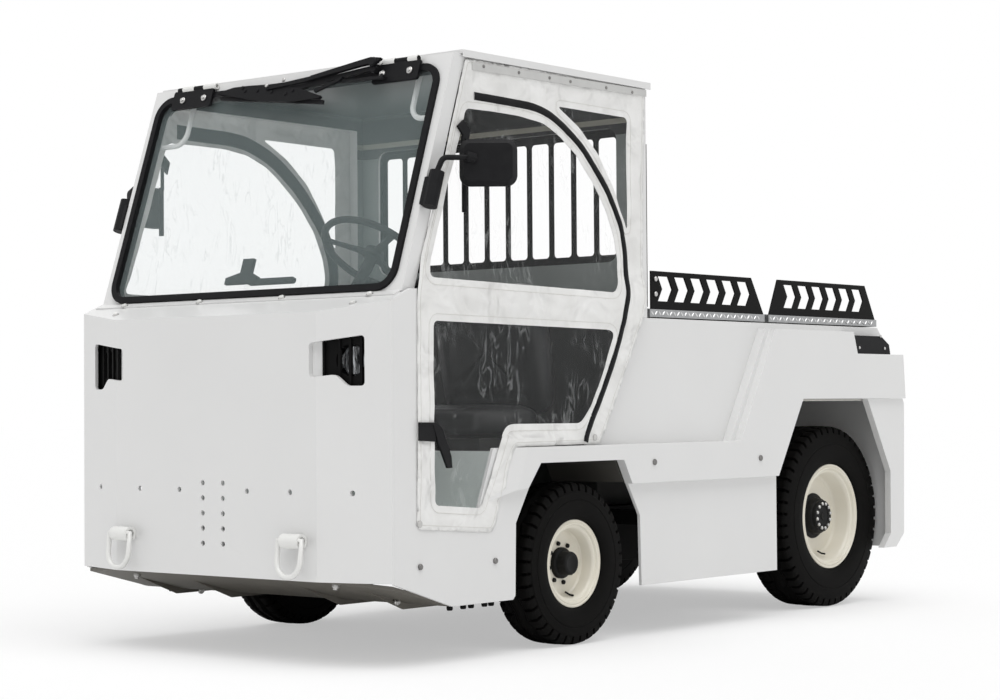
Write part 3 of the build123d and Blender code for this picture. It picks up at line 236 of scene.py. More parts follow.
dull_steel = surface("bolt_dull", (0.10, 0.10, 0.10), (0.30, 0.29, 0.28), 0.4, 60, 0.1, 600, metallic=0.9)
steel = surface("bolt_steel", (0.42, 0.42, 0.42), (0.62, 0.61, 0.59), 0.35, 60, 0.1, 600, metallic=1.0)
strip_metal = surface("strip_metal", (0.50, 0.50, 0.49), (0.60, 0.60, 0.585), 0.4, 20, 0.05, 300)
# The vinyl's colour drifts from grey to white in soft patches: painted shade, the mottled shade of its wrinkles
vinyl = surface("curtain_vinyl", (0.71, 0.705, 0.685), (0.93, 0.93, 0.92), 0.42, 10, 0.18, 1400, detail=4,
                distance=0.0006)
crease(vinyl, 8, 0.042)
stitch = surface("seam_thread", (0.62, 0.61, 0.58), (0.70, 0.69, 0.66), 0.6, 300, 0.3, 900)
seat_vinyl = surface("seat_vinyl", (0.007, 0.007, 0.008), (0.016, 0.016, 0.017), 0.36, 20, 0.05, 900, shine=0.32,
                     distance=0.0002)
engine = surface("engine_iron", (0.03, 0.03, 0.03), (0.06, 0.06, 0.055), 0.7, 12, 0.3, 150)
ring_white = surface("ring_white", (0.76, 0.76, 0.74), (0.84, 0.84, 0.82), 0.35, 12, 0.06, 200, coat=0.2)
belly_brown = surface("belly_dark", (0.085, 0.078, 0.066), (0.15, 0.14, 0.12), 0.6, 10, 0.15, 200)
glass = surface("screen_glass", (0.56, 0.69, 0.69), (0.64, 0.77, 0.77), 0.03, 2, 0, 10, alpha=0.095,
                rough_spread=0.01)
# Clear film; its pale colour shows in the crinkle bands as painted reflections over the dark cab
pane = surface("pane_clear", (0.78, 0.81, 0.81), (0.93, 0.95, 0.95), 0.06, 5, 0.3, 14, alpha=0.06,
               rough_spread=0.03, distance=0.004)
painted_crinkle_reflections(pane, 0.020, 0.085)
plate = tread_plate()
# Arch liners: dark over the front wheels, light grey over the rear ones
liner_paint = two_tone("arch_paint", "Y", 0.2, ((0.05, 0.048, 0.042), (0.085, 0.08, 0.07)),
                       ((0.52, 0.51, 0.47), (0.66, 0.65, 0.61)), 0.6, Scale=6)
# Footwell and riser light grey-green, brightened above the body's white as painted light; the firewall and the deck
# under the seats black, as painted shade
floor_paint_and_painted_light = two_tone("cab_floor_paint_and_painted_light", "Z", 0.6485, ((0.72, 0.78, 0.76), (0.80, 0.85, 0.83)),
                       ((0.008, 0.008, 0.008), (0.020, 0.020, 0.019)), 0.55, Scale=7, Detail=6)


# CAD nodes that keep their shape: finish and softened edges
WELD_REACH = 0.00002
EDGE_ANGLE = radians(28)


def dress(names, material, bevel=0.0015, segments=2):
    """Gives CAD nodes a finish and softens their edges."""
    for name in names.split():
        node = nodes[name]
        if node.material_slots:
            for s in node.material_slots:
                s.material = material
        else:
            node.data.materials.append(material)
        if bevel:
            weld = node.modifiers.new("weld", "WELD")
            weld.merge_threshold = WELD_REACH
            edge = node.modifiers.new("edge", "BEVEL")
            edge.width = bevel
            edge.segments = segments
            edge.limit_method = "ANGLE"
            edge.angle_limit = EDGE_ANGLE
            edge.harden_normals = True


dress("front_panel side_body_left side_body_right rear_body", white, 0.0012)
dress("cab_frame roof", cab_paint_and_painted_shade("cab_white_and_painted_shade"), 0.0015)
dress("rear_bumper", white, 0.004, 3)
dress("belly_plate", belly_brown)
dress("chassis_frame front_axle rear_axle knuckle_left knuckle_right", black, 0.003)
dress("rear_guard deck_rails_front deck_rails_rear lamp_pods", black, 0.0012)
dress("arch_liners", liner_paint)
dress("cab_floor", floor_paint_and_painted_light, 0.003)
dress("dashboard wiper tail_lamps screen_latch door_straps", plastic, 0.0018)
dress("windscreen_seal", seal, 0.004, 4)
dress("windscreen", glass, 0)
dress("headlamps", lens_glass(), 0.001)
dress("roof_strips", strip_metal, 0.001)
dress("engine_block", engine, 0.004)
dress("deck_lid_front deck_lid_rear", plate, 0.0015)
dress("mirror_left mirror_right", plastic, 0.006, 4)


# Mesh helpers
def placed(name, data):
    """A new object in the scene."""
    obj = bpy.data.objects.new(name, data)
    bpy.context.scene.collection.objects.link(obj)
    return obj


def piece(name, verts, faces, material, body="chassis", smooth=40, slot=None, materials=()):
    """A mesh that rides a body. Edges sharper than smooth, in degrees, stay sharp."""
    mesh = bpy.data.meshes.new(name)
    mesh.from_pydata([tuple(v) for v in verts], [], [tuple(f) for f in faces])
    mesh.validate()
    if smooth:
        mesh.polygons.foreach_set("use_smooth", [True] * len(mesh.polygons))
        mesh.set_sharp_from_angle(angle=radians(smooth))
    for m in (material, *materials):
        mesh.materials.append(m)
    obj = placed(name, mesh)
    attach(obj, body)
    return obj


def ring_faces(rows, columns, closed=False):
    """Quads between rows of points that each go once around. Closed joins the last row to the first."""
    faces = []
    for i in range(rows if closed else rows - 1):
        this, other = i * columns, (i + 1) % rows * columns
        for k in range(columns):
            after = (k + 1) % columns
            faces.append((this + k, this + after, other + after, other + k))
    return faces


def lathe(rows, segments):
    """A closed profile of (offset along X, radius), in millimetres, turned about X."""
    turn = [2 * pi * k / segments for k in range(segments)]
    verts = [(o / 1000, r / 1000 * cos(a), r / 1000 * sin(a)) for o, r in rows for a in turn]
    return verts, ring_faces(len(rows), segments, True)


def slab(bottom, top):
    """A closed solid between two outlines of as many points."""
    count = len(bottom)
    caps = [tuple(range(count))[::-1], tuple(range(count, 2 * count))]
    return [*bottom, *top], caps + ring_faces(2, count)


def joined(parts):
    """Several (vertices, faces) as one."""
    verts, faces = [], []
    for v, f in parts:
        start = len(verts)
        verts.extend(v)
        faces.extend(tuple(i + start for i in face) for face in f)
    return verts, faces


def head(place, normal, radius, height, sides=6):
    """A bolt head: many-sided, with a chamfered top."""
    normal = Vector(normal).normalized()
    a = normal.orthogonal().normalized()
    b = normal.cross(a)
    verts = []
    for reach, lift in ((radius, 0), (radius, 0.7 * height), (0.8 * radius, height)):
        for k in range(sides):
            t = 2 * pi * k / sides
            verts.append(Vector(place) + (a * cos(t) + b * sin(t)) * reach + normal * lift)
    faces = ring_faces(3, sides)
    faces.append(tuple(range(2 * sides, 3 * sides)))
    faces.append(tuple(range(sides))[::-1])
    return verts, faces


def line(name, points, radius, material, body="chassis", cyclic=False):
    """A round bar along points."""
    data = bpy.data.curves.new(name, "CURVE")
    data.dimensions = "3D"
    spline = data.splines.new("POLY")
    spline.points.add(len(points) - 1)
    for p, q in zip(spline.points, points):
        p.co = (*q, 1)
    spline.use_cyclic_u = cyclic
    data.bevel_depth = radius
    data.bevel_resolution = 2
    data.use_fill_caps = True
    data.materials.append(material)
    obj = placed(name, data)
    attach(obj, body)
    return obj


# Wheels
def tyre(name, node, body, centre, r, half, lip, notches, side):
    """Industrial tyre: smooth bulging side walls, notched shoulders and a zigzag in the tread.

    Its radius, half width and the rim lip's radius are in millimetres. Rows are (offset, radius)."""
    span = r - lip
    rows = [(half - 13, lip + 2), (half - 8, lip + 5), (half - 2.5, lip + 14), (half - 0.6, lip + 0.30 * span),
            (half, lip + 0.44 * span), (half - 0.4, lip + 0.50 * span), (half - 2.2, lip + 0.515 * span),
            (half - 2.2, lip + 0.535 * span), (half - 0.8, lip + 0.55 * span), (half - 3, lip + 0.74 * span),
            (half - 5, r - 30), (half - 6, r - 20), (half - 9, r - 10), (half - 14, r - 4.5), (half - 22, r - 2.2),
            (0.62 * half, r - 1.6), (0.44 * half, r - 1), (0.32 * half, r - 0.6), (0.26 * half, r - 0.5),
            (0.10 * half, r - 0.2)]
    rows += [(-o, q) for o, q in rows[::-1]]
    # Shares of a tread pitch where the grooves' walls stand
    groove, wall = 0.24, 0.02
    start, end = 0.5 - groove / 2, 0.5 + groove / 2
    columns = [(n, s) for n in range(notches)
               for s in (0.0, start - wall, start + wall, 0.5, end - wall, end + wall)]
    pitch = 2 * pi / notches
    shoulder, notch_depth, band_depth = r - 26, 15, 9
    verts = []
    for o, q in rows:
        edge = abs(o) / half
        for n, s in columns:
            reach, out = q, o
            if start < s < end and q > shoulder and edge > (0.40 if n % 2 else 0.58):
                reach = min(q, r - notch_depth)
                if edge > 0.84:
                    out = o * (half - 11) / half
                    reach = q - 7 if q < r - 12 else min(q, r - notch_depth)
            if abs(edge - 0.29) < 0.05:
                reach = r - band_depth
            swing = 0.06 * half * (1 if n % 2 else -1) * (1 - abs(2 * s - 1)) if edge < 0.5 else 0
            lag = 0.5 * pitch * (0.5 - 0.5 * max(-1, min(1, 2.5 * o / half)))
            a = pitch * (n + s) + lag
            verts.append((side * (centre[0] + (out + swing) / 1000), centre[1] + reach / 1000 * cos(a),
                          centre[2] + reach / 1000 * sin(a)))
    faces = [quad[::-side] for quad in ring_faces(len(rows), len(columns), True)]
    obj = piece(name, verts, faces, rubber, body, 32, "tyre_rubber")
    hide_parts(node)
    return obj


def rim(name, node, body, centre, side, rows, hub_rows, bolts, valve):
    """Dished wheel with its lip, step ring, hub, bolts and valve. Profiles and bolts are in millimetres."""
    dish = piece(name, *lathe(rows, 128), cream, body, 30, "rim_cream")
    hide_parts(node)
    hub = piece(name + "_hub", *lathe(hub_rows, 64), hub_black, body, 30)
    ring, count, size, face, finish = bolts
    turns = [2 * pi * k / count + 0.2 for k in range(count)]
    made = [head((face / 1000, ring / 1000 * cos(a), ring / 1000 * sin(a)), (1, 0, 0), size / 1000, size / 1000)
            for a in turns]
    nuts = piece(name + "_bolts", *joined(made), finish, body, 30)
    place = Matrix.Translation((side * centre[0], centre[1], centre[2])) @ Matrix.Diagonal((side, 1, 1, 1))
    for obj in (dish, hub, nuts):
        obj.data.transform(place)
        if side < 0:
            obj.data.flip_normals()
    a = Vector((side * (centre[0] + valve[0] / 1000), centre[1] + 0.02, centre[2] - valve[1] / 1000))
    line(name + "_valve", [a, a + Vector((side * 0.018, 0.0, -0.008)), a + Vector((side * 0.034, 0.0, -0.010))], 0.0035,
         hub_black, body)


# Profiles as (offset from the wheel's middle, radius), in millimetres
FRONT_RIM = ((-64, 139), (-64, 146), (-58, 146), (-54, 128), (54, 128), (57, 134), (58, 143), (60, 145.5), (63, 145.5),
             (64, 143.5), (64, 140), (62.4, 138.5), (61, 137.5), (61, 136), (62.4, 134.6), (63.4, 133), (63, 130),
             (59, 127.5), (55.5, 126), (55, 124.5), (55, 121), (52, 117), (46, 114), (12, 111), (6, 106), (5, 100),
             (5, 46.5), (-5, 46.5), (-5, 112), (-58, 118), (-62, 130))
FRONT_HUB = ((-36, 20.8), (-36, 52), (14, 52), (18, 50), (20, 46), (22, 41), (48, 39), (53, 36.5), (55, 32), (55, 26),
             (54, 24), (54, 5), (53.6, 0.4), (25, 0.4), (25, 20.6))
REAR_RIM = ((-84, 196), (-84, 204), (-76, 204), (-72, 184), (72, 184), (75, 191), (76, 201), (78, 203.5), (82, 203.5),
            (84, 201.5), (84, 197), (82.4, 195.4), (80.6, 194.4), (80.6, 192.6), (82.4, 191), (83.4, 189), (83, 185.5),
            (78, 182.5), (74, 180.5), (73, 178.5), (72.5, 174), (68, 169.5), (60, 166), (16, 160), (8, 155),
            (5, 150), (5, 89), (-5, 89), (-5, 160), (-78, 172), (-82, 186))
REAR_HUB = ((-36, 40.4), (-36, 88), (6, 88), (9, 86), (11, 80), (13, 72), (34, 69), (38, 66), (40, 63), (50, 61),
            (52, 58), (52, 38), (50, 36), (50, 16), (53, 14), (53, 5), (52.6, 0.4), (27, 0.4), (27, 40.4))
# axle, tyre radius, half width, lip radius, notches, rim, hub, bolts (ring, count, size, face, finish), valve
WHEELS = {
    "front": (FRONT_AXLE, (270, 77.5, 146, 40), FRONT_RIM, FRONT_HUB, (66, 8, 8, 5, hub_black), (10, 98)),
    "rear": (REAR_AXLE, (353, 95, 204, 48), REAR_RIM, REAR_HUB, (48.5, 12, 7.2, 51, steel), (12, 140))}
for side, word in SIDES:
    for end, (axle, sizes, *_) in WHEELS.items():
        tyre(f"{end}_tyre_skin_{word}", f"{end}_tyre_{word}", f"{end}_wheel_{word}", axle, *sizes, side)
    for end, (axle, _, profile, hub_profile, bolts, valve) in WHEELS.items():
        rim(f"{end}_wheel_disc_{word}", f"{end}_rim_{word}", f"{end}_wheel_{word}", axle, side, profile, hub_profile,
            bolts, valve)


# Door curtains: vinyl with clear panes, cut flat and hung from the roof strip
# Outlines as (y, z): the curtain, its clear panes and the zip's run
CURTAIN = ((-1.381, 0.421), (-1.374, 1.148), (-1.226, 1.560), (-1.122, 1.888), (-0.164, 1.888), (-0.183, 1.156),
           (-0.208, 1.084), (-0.452, 0.672), (-0.462, 0.6655), (-0.925, 0.663), (-0.955, 0.600), (-0.982, 0.496),
           (-1.008, 0.418), (-1.022, 0.402), (-1.036, 0.396))
PANES = (
    ((-0.362, 1.175), (-1.295, 1.190), (-1.303, 1.195), (-1.308, 1.206), (-1.121, 1.729), (-1.000, 1.731),
     (-0.852, 1.730), (-0.732, 1.717), (-0.639, 1.681), (-0.556, 1.627), (-0.464, 1.545), (-0.389, 1.454),
     (-0.342, 1.358), (-0.326, 1.280), (-0.337, 1.215)),
    ((-0.653, 1.781), (-0.270, 1.779), (-0.270, 1.389), (-0.346, 1.528), (-0.429, 1.637), (-0.533, 1.719)),
    ((-0.375, 1.034), (-0.399, 1.048), (-1.303, 1.057), (-1.299, 0.491), (-1.081, 0.474), (-1.015, 0.608),
     (-0.970, 0.708), (-0.950, 0.729), (-0.924, 0.736), (-0.568, 0.735), (-0.513, 0.785), (-0.446, 0.885)))
ZIP = ((-1.079, 1.772), (-0.928, 1.770), (-0.789, 1.768), (-0.700, 1.751), (-0.588, 1.701), (-0.485, 1.627),
       (-0.380, 1.519), (-0.313, 1.425), (-0.276, 1.303), (-0.289, 1.190), (-0.321, 1.066), (-0.382, 0.940),
       (-0.447, 0.825), (-0.499, 0.755), (-0.528, 0.700), (-0.536, 0.672))


def within(points, outline):
    """Which points lie inside a closed outline."""
    x, y = points[:, 0], points[:, 1]
    hit = np.zeros(len(points), bool)
    for (x0, y0), (x1, y1) in zip(outline, outline[1:] + outline[:1]):
        cross = (y0 > y) != (y1 > y)
        if y0 != y1:
            hit ^= cross & (x < (x1 - x0) * (y - y0) / (y1 - y0) + x0)
    return hit


def spaced(outline, step, closed=True):
    """Points along an outline, about a step apart, with its corners."""
    points = []
    for a, b in zip(outline, outline[1:] + (outline[:1] if closed else ())):
        a, b = np.array(a), np.array(b)
        count = max(1, int(np.linalg.norm(b - a) / step))
        points.extend(tuple(a + (b - a) * k / count) for k in range(count))
    if not closed:
        points.append(outline[-1])
    return points


def door_x(y, z):
    """Outer face of what the curtain lies on: the cab above, the side panel below, the sill plate at its foot."""
    panel_z, blend = 1.270, 0.112
    fall = min(max((panel_z - z) / blend, 0), 1)
    x = CAB_X + (PANEL_X - CAB_X) * fall * fall * (3 - 2 * fall)
    sill_y, sill_z, sill_top = -1.048, 0.473, 0.70
    edge = sill_y + (z - sill_z) * 0.264
    if sill_z + (y - sill_y) * 0.567 < z < sill_top and y > edge:
        x = max(x, PANEL_X + min(0.2 * (y - edge), 0.0125))
    return x


# Folds of the vinyl: from y, z to y, z, half width, height
CREASES = (
    (-1.335, 1.135, -1.180, 1.070, 0.013, 0.0030), (-1.210, 1.150, -0.960, 1.100, 0.015, 0.0026),
    (-1.120, 1.128, -0.620, 1.085, 0.017, 0.0022), (-0.900, 1.142, -0.520, 1.128, 0.013, 0.0018),
    (-0.560, 1.120, -0.420, 1.070, 0.012, 0.0024), (-1.362, 0.960, -1.315, 0.935, 0.010, 0.0022),
    (-1.362, 0.640, -1.312, 0.655, 0.010, 0.0022), (-1.355, 0.560, -1.310, 0.552, 0.009, 0.0020),
    (-1.330, 1.230, -1.290, 1.290, 0.011, 0.0020), (-1.160, 1.620, -1.125, 1.700, 0.011, 0.0022),
    (-1.060, 1.835, -0.700, 1.815, 0.017, 0.0020), (-0.600, 1.822, -0.300, 1.832, 0.014, 0.0018),
    (-0.250, 1.700, -0.205, 1.560, 0.012, 0.0020), (-0.230, 1.400, -0.205, 1.250, 0.010, 0.0018),
    (-0.300, 0.990, -0.360, 0.900, 0.010, 0.0020), (-0.420, 0.800, -0.450, 0.740, 0.009, 0.0018),
    (-1.260, 0.440, -1.120, 0.432, 0.010, 0.0016), (-0.880, 0.705, -0.640, 0.698, 0.010, 0.0014))


def curtain_x(y, z):
    """The vinyl's own place: folds and slow ripples over what it lies on, and never far into it."""
    clearance, deepest = 0.0034, -0.0012
    lift = 0.0010 * sin(21 * y + 9 * z) * sin(13 * z - 5 * y) + 0.0034 * noise.noise((13 * y, 13 * z, 0.5))
    lift += 0.0014 * noise.noise((34 * y, 34 * z, 7.5))
    for y0, z0, y1, z1, half, high in CREASES:
        run, rise = y1 - y0, z1 - z0
        t = min(max(((y - y0) * run + (z - z0) * rise) / (run * run + rise * rise), 0), 1)
        far = ((y - y0 - t * run) ** 2 + (z - z0 - t * rise) ** 2) / half ** 2
        if far < 6:
            lift += 1.9 * high * np.exp(-far) * (0.4 + 0.6 * sin(pi * t))
    return door_x(y, z) + clearance + max(lift, deepest)


def eased(outline, reach, rounds=2, closed=True):
    """Corner cutting, by a share of short edges and a set reach on long ones."""
    for _ in range(rounds):
        made = [] if closed else [tuple(outline[0])]
        for a, b in zip(outline, outline[1:] + (outline[:1] if closed else ())):
            a, b = Vector(a), Vector(b)
            share = min(0.25, reach / max((b - a).length, 1e-6))
            made += [tuple(a.lerp(b, share)), tuple(a.lerp(b, 1 - share))]
        if not closed:
            made.append(tuple(outline[-1]))
        outline = tuple(made)
        reach /= 2
    return outline


def grown(outline, amount):
    """The outline moved outward by an amount along its own normals."""
    pts = [Vector(p) for p in outline]
    area = sum(a.x * b.y - b.x * a.y for a, b in zip(pts, pts[1:] + pts[:1]))
    sign = 1 if area > 0 else -1
    made = []
    for a, b, c in zip(pts[-1:] + pts[:-1], pts, pts[1:] + pts[:1]):
        d = ((b - a).normalized() + (c - b).normalized()).normalized()
        made.append((b.x + sign * d.y * amount, b.y - sign * d.x * amount))
    return tuple(made)


def band(name, run, side, half, high, material, inner=False):
    """A flat, slightly crowned strip that lies on the curtain along a line, outside or inside."""
    rows = ((-1, 0.0), (-0.8, 0.75), (0, 1.0), (0.8, 0.75), (1, 0.0))
    verts, faces = [], []
    for k, (y, z) in enumerate(run):
        a, b = run[max(k - 1, 0)], run[min(k + 1, len(run) - 1)]
        across = Vector((-(b[1] - a[1]), b[0] - a[0])).normalized() * half
        for share, lift in rows:
            q = (y + across.x * share, z + across.y * share)
            out = -0.0010 - lift * high if inner else 0.0007 + lift * high
            verts.append((side * (curtain_x(*q) + out), *q))
    for k in range(len(run) - 1):
        for j in range(len(rows) - 1):
            i = k * len(rows) + j
            faces.append((i, i + 1, i + 1 + len(rows), i + len(rows))[::-side if inner else side])
    return piece(name, verts, faces, material, smooth=60)


# One flat pattern for both doors: outline and panes as edges, with a grid of points between them
EDGE_STEP, GRID_STEP, GRID_GAP = 0.02, 0.013, 0.008
SEAM_OUT, HEM_IN, STITCH_STEP = 0.022, 0.014, 0.03
outline = eased(CURTAIN, 0.010)
holes = [eased(p, 0.011) for p in PANES]
points, edges = [], []
for ring in (outline, *holes):
    run = spaced(ring, EDGE_STEP)
    start = len(points)
    points.extend(run)
    edges.extend((start + k, start + (k + 1) % len(run)) for k in range(len(run)))
grid = np.array([(y, z) for y in np.arange(-1.39, -0.15, GRID_STEP) for z in np.arange(0.39, 1.90, GRID_STEP)])
near = np.array(points)
keep = within(grid, outline)
apart = np.array([np.min(np.abs(near - g).sum(1)) > GRID_GAP for g in grid])
points.extend(tuple(g) for g in grid[keep & apart])
flat_points, _, triangles, *_ = delaunay_2d_cdt([Vector(p) for p in points], edges, [], 0, 1e-6)
middles = np.array([np.mean([flat_points[i] for i in t], axis=0) for t in triangles])
inside = within(middles, outline)
clear = np.zeros(len(triangles), bool)
for hole in holes:
    clear |= within(middles, hole)
faces_kept = [tuple(t) for t, ok in zip(triangles, inside) if ok]
clear_kept = [int(c) for c, ok in zip(clear, inside) if ok]


def thread(name, run, side):
    """A line of stitches that lies on the curtain."""
    return line(name, [(side * (curtain_x(y, z) + 0.0008), y, z) for y, z in run], 0.0009, stitch, cyclic=True)


for side, word in SIDES:
    verts = [(side * curtain_x(p[0], p[1]), p[0], p[1]) for p in flat_points]
    cloth = piece(f"door_vinyl_{word}", verts, [f[::side] for f in faces_kept], vinyl, smooth=0,
                  slot="curtain_vinyl", materials=(pane,))
    cloth.data.polygons.foreach_set("material_index", clear_kept)
    cloth.data.polygons.foreach_set("use_smooth", [True] * len(cloth.data.polygons))
    thick = cloth.modifiers.new("thickness", "SOLIDIFY")
    thick.thickness = 0.0012
    thick.offset = 0
    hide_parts(f"door_curtain_{word}", f"door_panes_{word}")
    trims = [thread(f"door_seam_{word}_{k}", spaced(grown(hole, SEAM_OUT), STITCH_STEP), side)
             for k, hole in enumerate(holes)]
    trims.append(thread(f"door_hem_{word}", spaced(grown(outline, -HEM_IN), STITCH_STEP), side))
    run = spaced(eased(ZIP, 1, 3, False), EDGE_STEP, False)
    trims.append(band(f"door_zip_{word}", run, side, 0.0128, 0.0028, seal))
    trims.append(band(f"door_tape_{word}", run, side, 0.0255, 0.0008, tape, True))


# Seats: ribbed cushions
def power(t, e):
    """A power that keeps the sign."""
    return abs(t) ** e * (1 if t > 0 else -1)


def cushion(name, centre, size, tilt, ribs):
    """A crowned pad with sewn ribs, pulled in between its corners."""
    rows, columns = 40, 56
    verts = []
    for i in range(rows + 1):
        v = -pi / 2 + pi * i / rows
        for j in range(columns):
            u = 2 * pi * j / columns
            x = power(cos(v), 0.28) * power(cos(u), 0.24)
            y = power(cos(v), 0.28) * power(sin(u), 0.24)
            z = power(sin(v), 0.55)
            crown = 1 - 0.18 * (x * x + y * y) / 2
            rib = 0.07 * abs(sin(pi * ribs * y / 2)) if z > 0.3 and abs(x) < 0.72 else 0.09
            verts.append(Vector((x * size[0] / 2 * (1 - 0.03 * y * y), y * size[1] / 2 * (1 - 0.03 * x * x),
                                 z * size[2] / 2 * (crown + rib - 0.05))))
    spin = Matrix.Translation(centre) @ Matrix.Rotation(tilt, 4, "X")
    pad = piece(name, [spin @ v for v in verts], ring_faces(rows + 1, columns), seat_vinyl, smooth=60,
                slot="seat_vinyl")
    return pad


for x, word in ((0.320, "driver"), (-0.320, "passenger")):
    base = cushion(f"{word}_cushion", (x, -0.735, 0.742), (0.465, 0.360, 0.115), 0, 7)
    back = cushion(f"{word}_back", (x, -0.545, 0.985), (0.465, 0.455, 0.105), radians(100), 9)
    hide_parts(f"{word}_seat")
    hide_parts(f"{word}_seat")


# Steering wheel: a smooth rim, spokes, hub and column in place of the many-sided one
WHEEL_CENTRE = Vector((0.280, -1.105, 1.290))
WHEEL_TURN = Matrix(((1, 0, 0), (0, 0.8, 0.6), (0, -0.6, 0.8)))
RIM_R, RIM_BAR_R = 0.175, 0.0118


def ring_tube(radius, bar, around=96, across=16):
    """A round bar bent to a ring about Z, with flats for the grip."""
    verts, faces = [], []
    for i in range(around):
        a = 2 * pi * i / around
        for j in range(across):
            b = 2 * pi * j / across
            grip = bar * (1 - 0.05 * (j in (2, 6, 10, 14)))
            verts.append(Vector(((radius + grip * cos(b)) * cos(a), (radius + grip * cos(b)) * sin(a), grip * sin(b))))
    for i in range(around):
        for j in range(across):
            k, l = (i + 1) % around, (j + 1) % across
            faces.append((i * across + j, k * across + j, k * across + l, i * across + l))
    return verts, faces


def turned(rows, segments=32):
    """Closed turned form about Z from (radius, height) rows."""
    verts = [Vector((r * cos(2 * pi * k / segments), r * sin(2 * pi * k / segments), z))
             for r, z in rows for k in range(segments)]
    faces = ring_faces(len(rows), segments)
    faces.append(tuple(range(segments))[::-1])
    faces.append(tuple(range((len(rows) - 1) * segments, len(rows) * segments)))
    return verts, faces


def spoke(turn):
    """A flat bar from the hub to the rim. Rows are (distance, half width, half thickness)."""
    rows = ((0.024, 0.014, 0.005), (0.07, 0.012, 0.004), (0.12, 0.010, 0.003), (0.170, 0.011, 0.004))
    verts = []
    for x, half, thick in rows:
        for y, z in ((-half, -thick), (half, -thick), (half, thick), (-half, thick)):
            verts.append(Matrix.Rotation(turn, 3, "Z") @ Vector((x, y, z)))
    return verts, ring_faces(4, 4) + [(3, 2, 1, 0), (12, 13, 14, 15)]


parts = [ring_tube(RIM_R, RIM_BAR_R), turned(((0.020, -0.215), (0.020, -0.016), (0.034, -0.014), (0.035, 0.002),
                                              (0.033, 0.012), (0.024, 0.0145), (0.002, 0.015)))]
parts += [spoke(radians(90 + 120 * k)) for k in range(3)]
verts, faces = joined(parts)
wheel = piece("steering_wheel_skin", [WHEEL_CENTRE + WHEEL_TURN @ v for v in verts], faces, plastic, smooth=35,
              slot="black_plastic")
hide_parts("steering_wheel")

# Tow rings: rolled lugs with a welded U-shaped bar hanging in each
RING_X, RING_HALF, RING_BAR_R, RING_DROP = (-0.403, 0.378), 0.0495, 0.0086, 0.060
LUG_R, LUG_HALF, LUG_THICK, LUG_Z, LUG_STEPS = 0.0229, 0.040, 0.009, 0.385, 40
LUG_START, LUG_END = radians(-60), radians(285)
lug_y = FRONT_Y - 0.0235
for k, x in enumerate(RING_X):
    verts = []
    for i in range(LUG_STEPS + 1):
        a = LUG_START + (LUG_END - LUG_START) * i / LUG_STEPS
        for r, o in ((LUG_R, -LUG_HALF), (LUG_R, LUG_HALF), (LUG_R - LUG_THICK, LUG_HALF),
                     (LUG_R - LUG_THICK, -LUG_HALF)):
            verts.append((x + o, lug_y + r * cos(a), LUG_Z + r * sin(a)))
    faces = ring_faces(LUG_STEPS + 1, 4) + [(3, 2, 1, 0), tuple(4 * LUG_STEPS + j for j in range(4))]
    lug = piece(f"tow_lug_{k}", verts, faces, ring_white, smooth=30, slot="ring_white")
    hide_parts("tow_rings")
    drop = [(-RING_HALF, 0.004), (-RING_HALF, -RING_DROP)]
    drop += [(-RING_HALF * cos(pi * q / 12), -RING_DROP - RING_HALF * sin(pi * q / 12)) for q in range(1, 12)]
    drop += [(RING_HALF, -RING_DROP), (RING_HALF, 0.004)]
    bar = line(f"tow_ring_{k}", [(x + u, lug_y - 0.012 + 0.10 * v, LUG_Z + v) for u, v in drop], RING_BAR_R,
               ring_white, cyclic=True)
    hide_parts("tow_rings")


# Windscreen's plane
OUT_OF_SCREEN = Vector((0, -cos(LEAN), sin(LEAN)))


def on_screen(u, v, off):
    """A place on the windscreen's plane, in millimetres: across, up the slope, and out from the frame."""
    return SCREEN_FOOT + Vector((u, v * sin(LEAN) - off * cos(LEAN), v * cos(LEAN) + off * sin(LEAN))) / 1000


SEAL_TOP = 1000 * (ROOF_Z - 0.012 - SCREEN_FOOT.z) / cos(LEAN) - 32


# Bolts, screws and fasteners, each kind joined as one piece: finish and body
FASTENERS = {
    "panel_bolts": (dull_steel, "chassis"), "roof_screws": (dull_steel, "chassis"), "belly_studs": (black, "chassis"),
    "snaps": (steel, "chassis"), "rail_bolts": (steel, "deck_lid_front"), "box_bolts": (steel, "chassis"),
    "hinge_bolts": (steel, "chassis"), "belly_bolts": (steel, "chassis"), "sill_washers": (steel, "chassis"),
    "sill_heads": (ring_white, "chassis")}
heads = {name: [] for name in FASTENERS}


def fasten(name, place, normal, radius, height, sides):
    heads[name].append(head(place, normal, radius, height, sides))


for side, _ in SIDES:
    outward = (side, 0, 0)
    for y, z in ((-1.367, 0.307), (-1.010, 0.305)):
        fasten("panel_bolts", (side * PANEL_X, y, z), outward, 0.0095, 0.007, 12)
    for y, z in ((-0.179, 0.597), (0.487, 0.596)):
        fasten("panel_bolts", (side * PLATE_X, y, z), outward, 0.0105, 0.006, 12)
    for y in (-1.155, -1.09, -1.052, -0.986, -0.953):
        fasten("belly_studs", (side * 0.64, y, 0.172), (0, 0, -1), 0.010, 0.016, 6)
    for y in (-1.038, -0.861, -0.701, -0.589, -0.391, -0.242):
        fasten("roof_screws", (side * 0.6950, y, 1.869), outward, 0.0055, 0.003, 10)
    for y, z in ((-0.487, 0.686), (-1.372, 0.437)):
        fasten("snaps", (side * (curtain_x(y, z) + 0.001), y, z), outward, 0.011, 0.004, 14)
    for z in (1.181, 1.234):
        fasten("rail_bolts", (side * 0.667, -0.076, z), outward, 0.009, 0.006, 12)
    for y, z in ((1.229, 1.012), (1.425, 1.012), (1.394, 1.060)):
        fasten("box_bolts", (side * 0.7155, y, z), outward, 0.006, 0.004, 10)
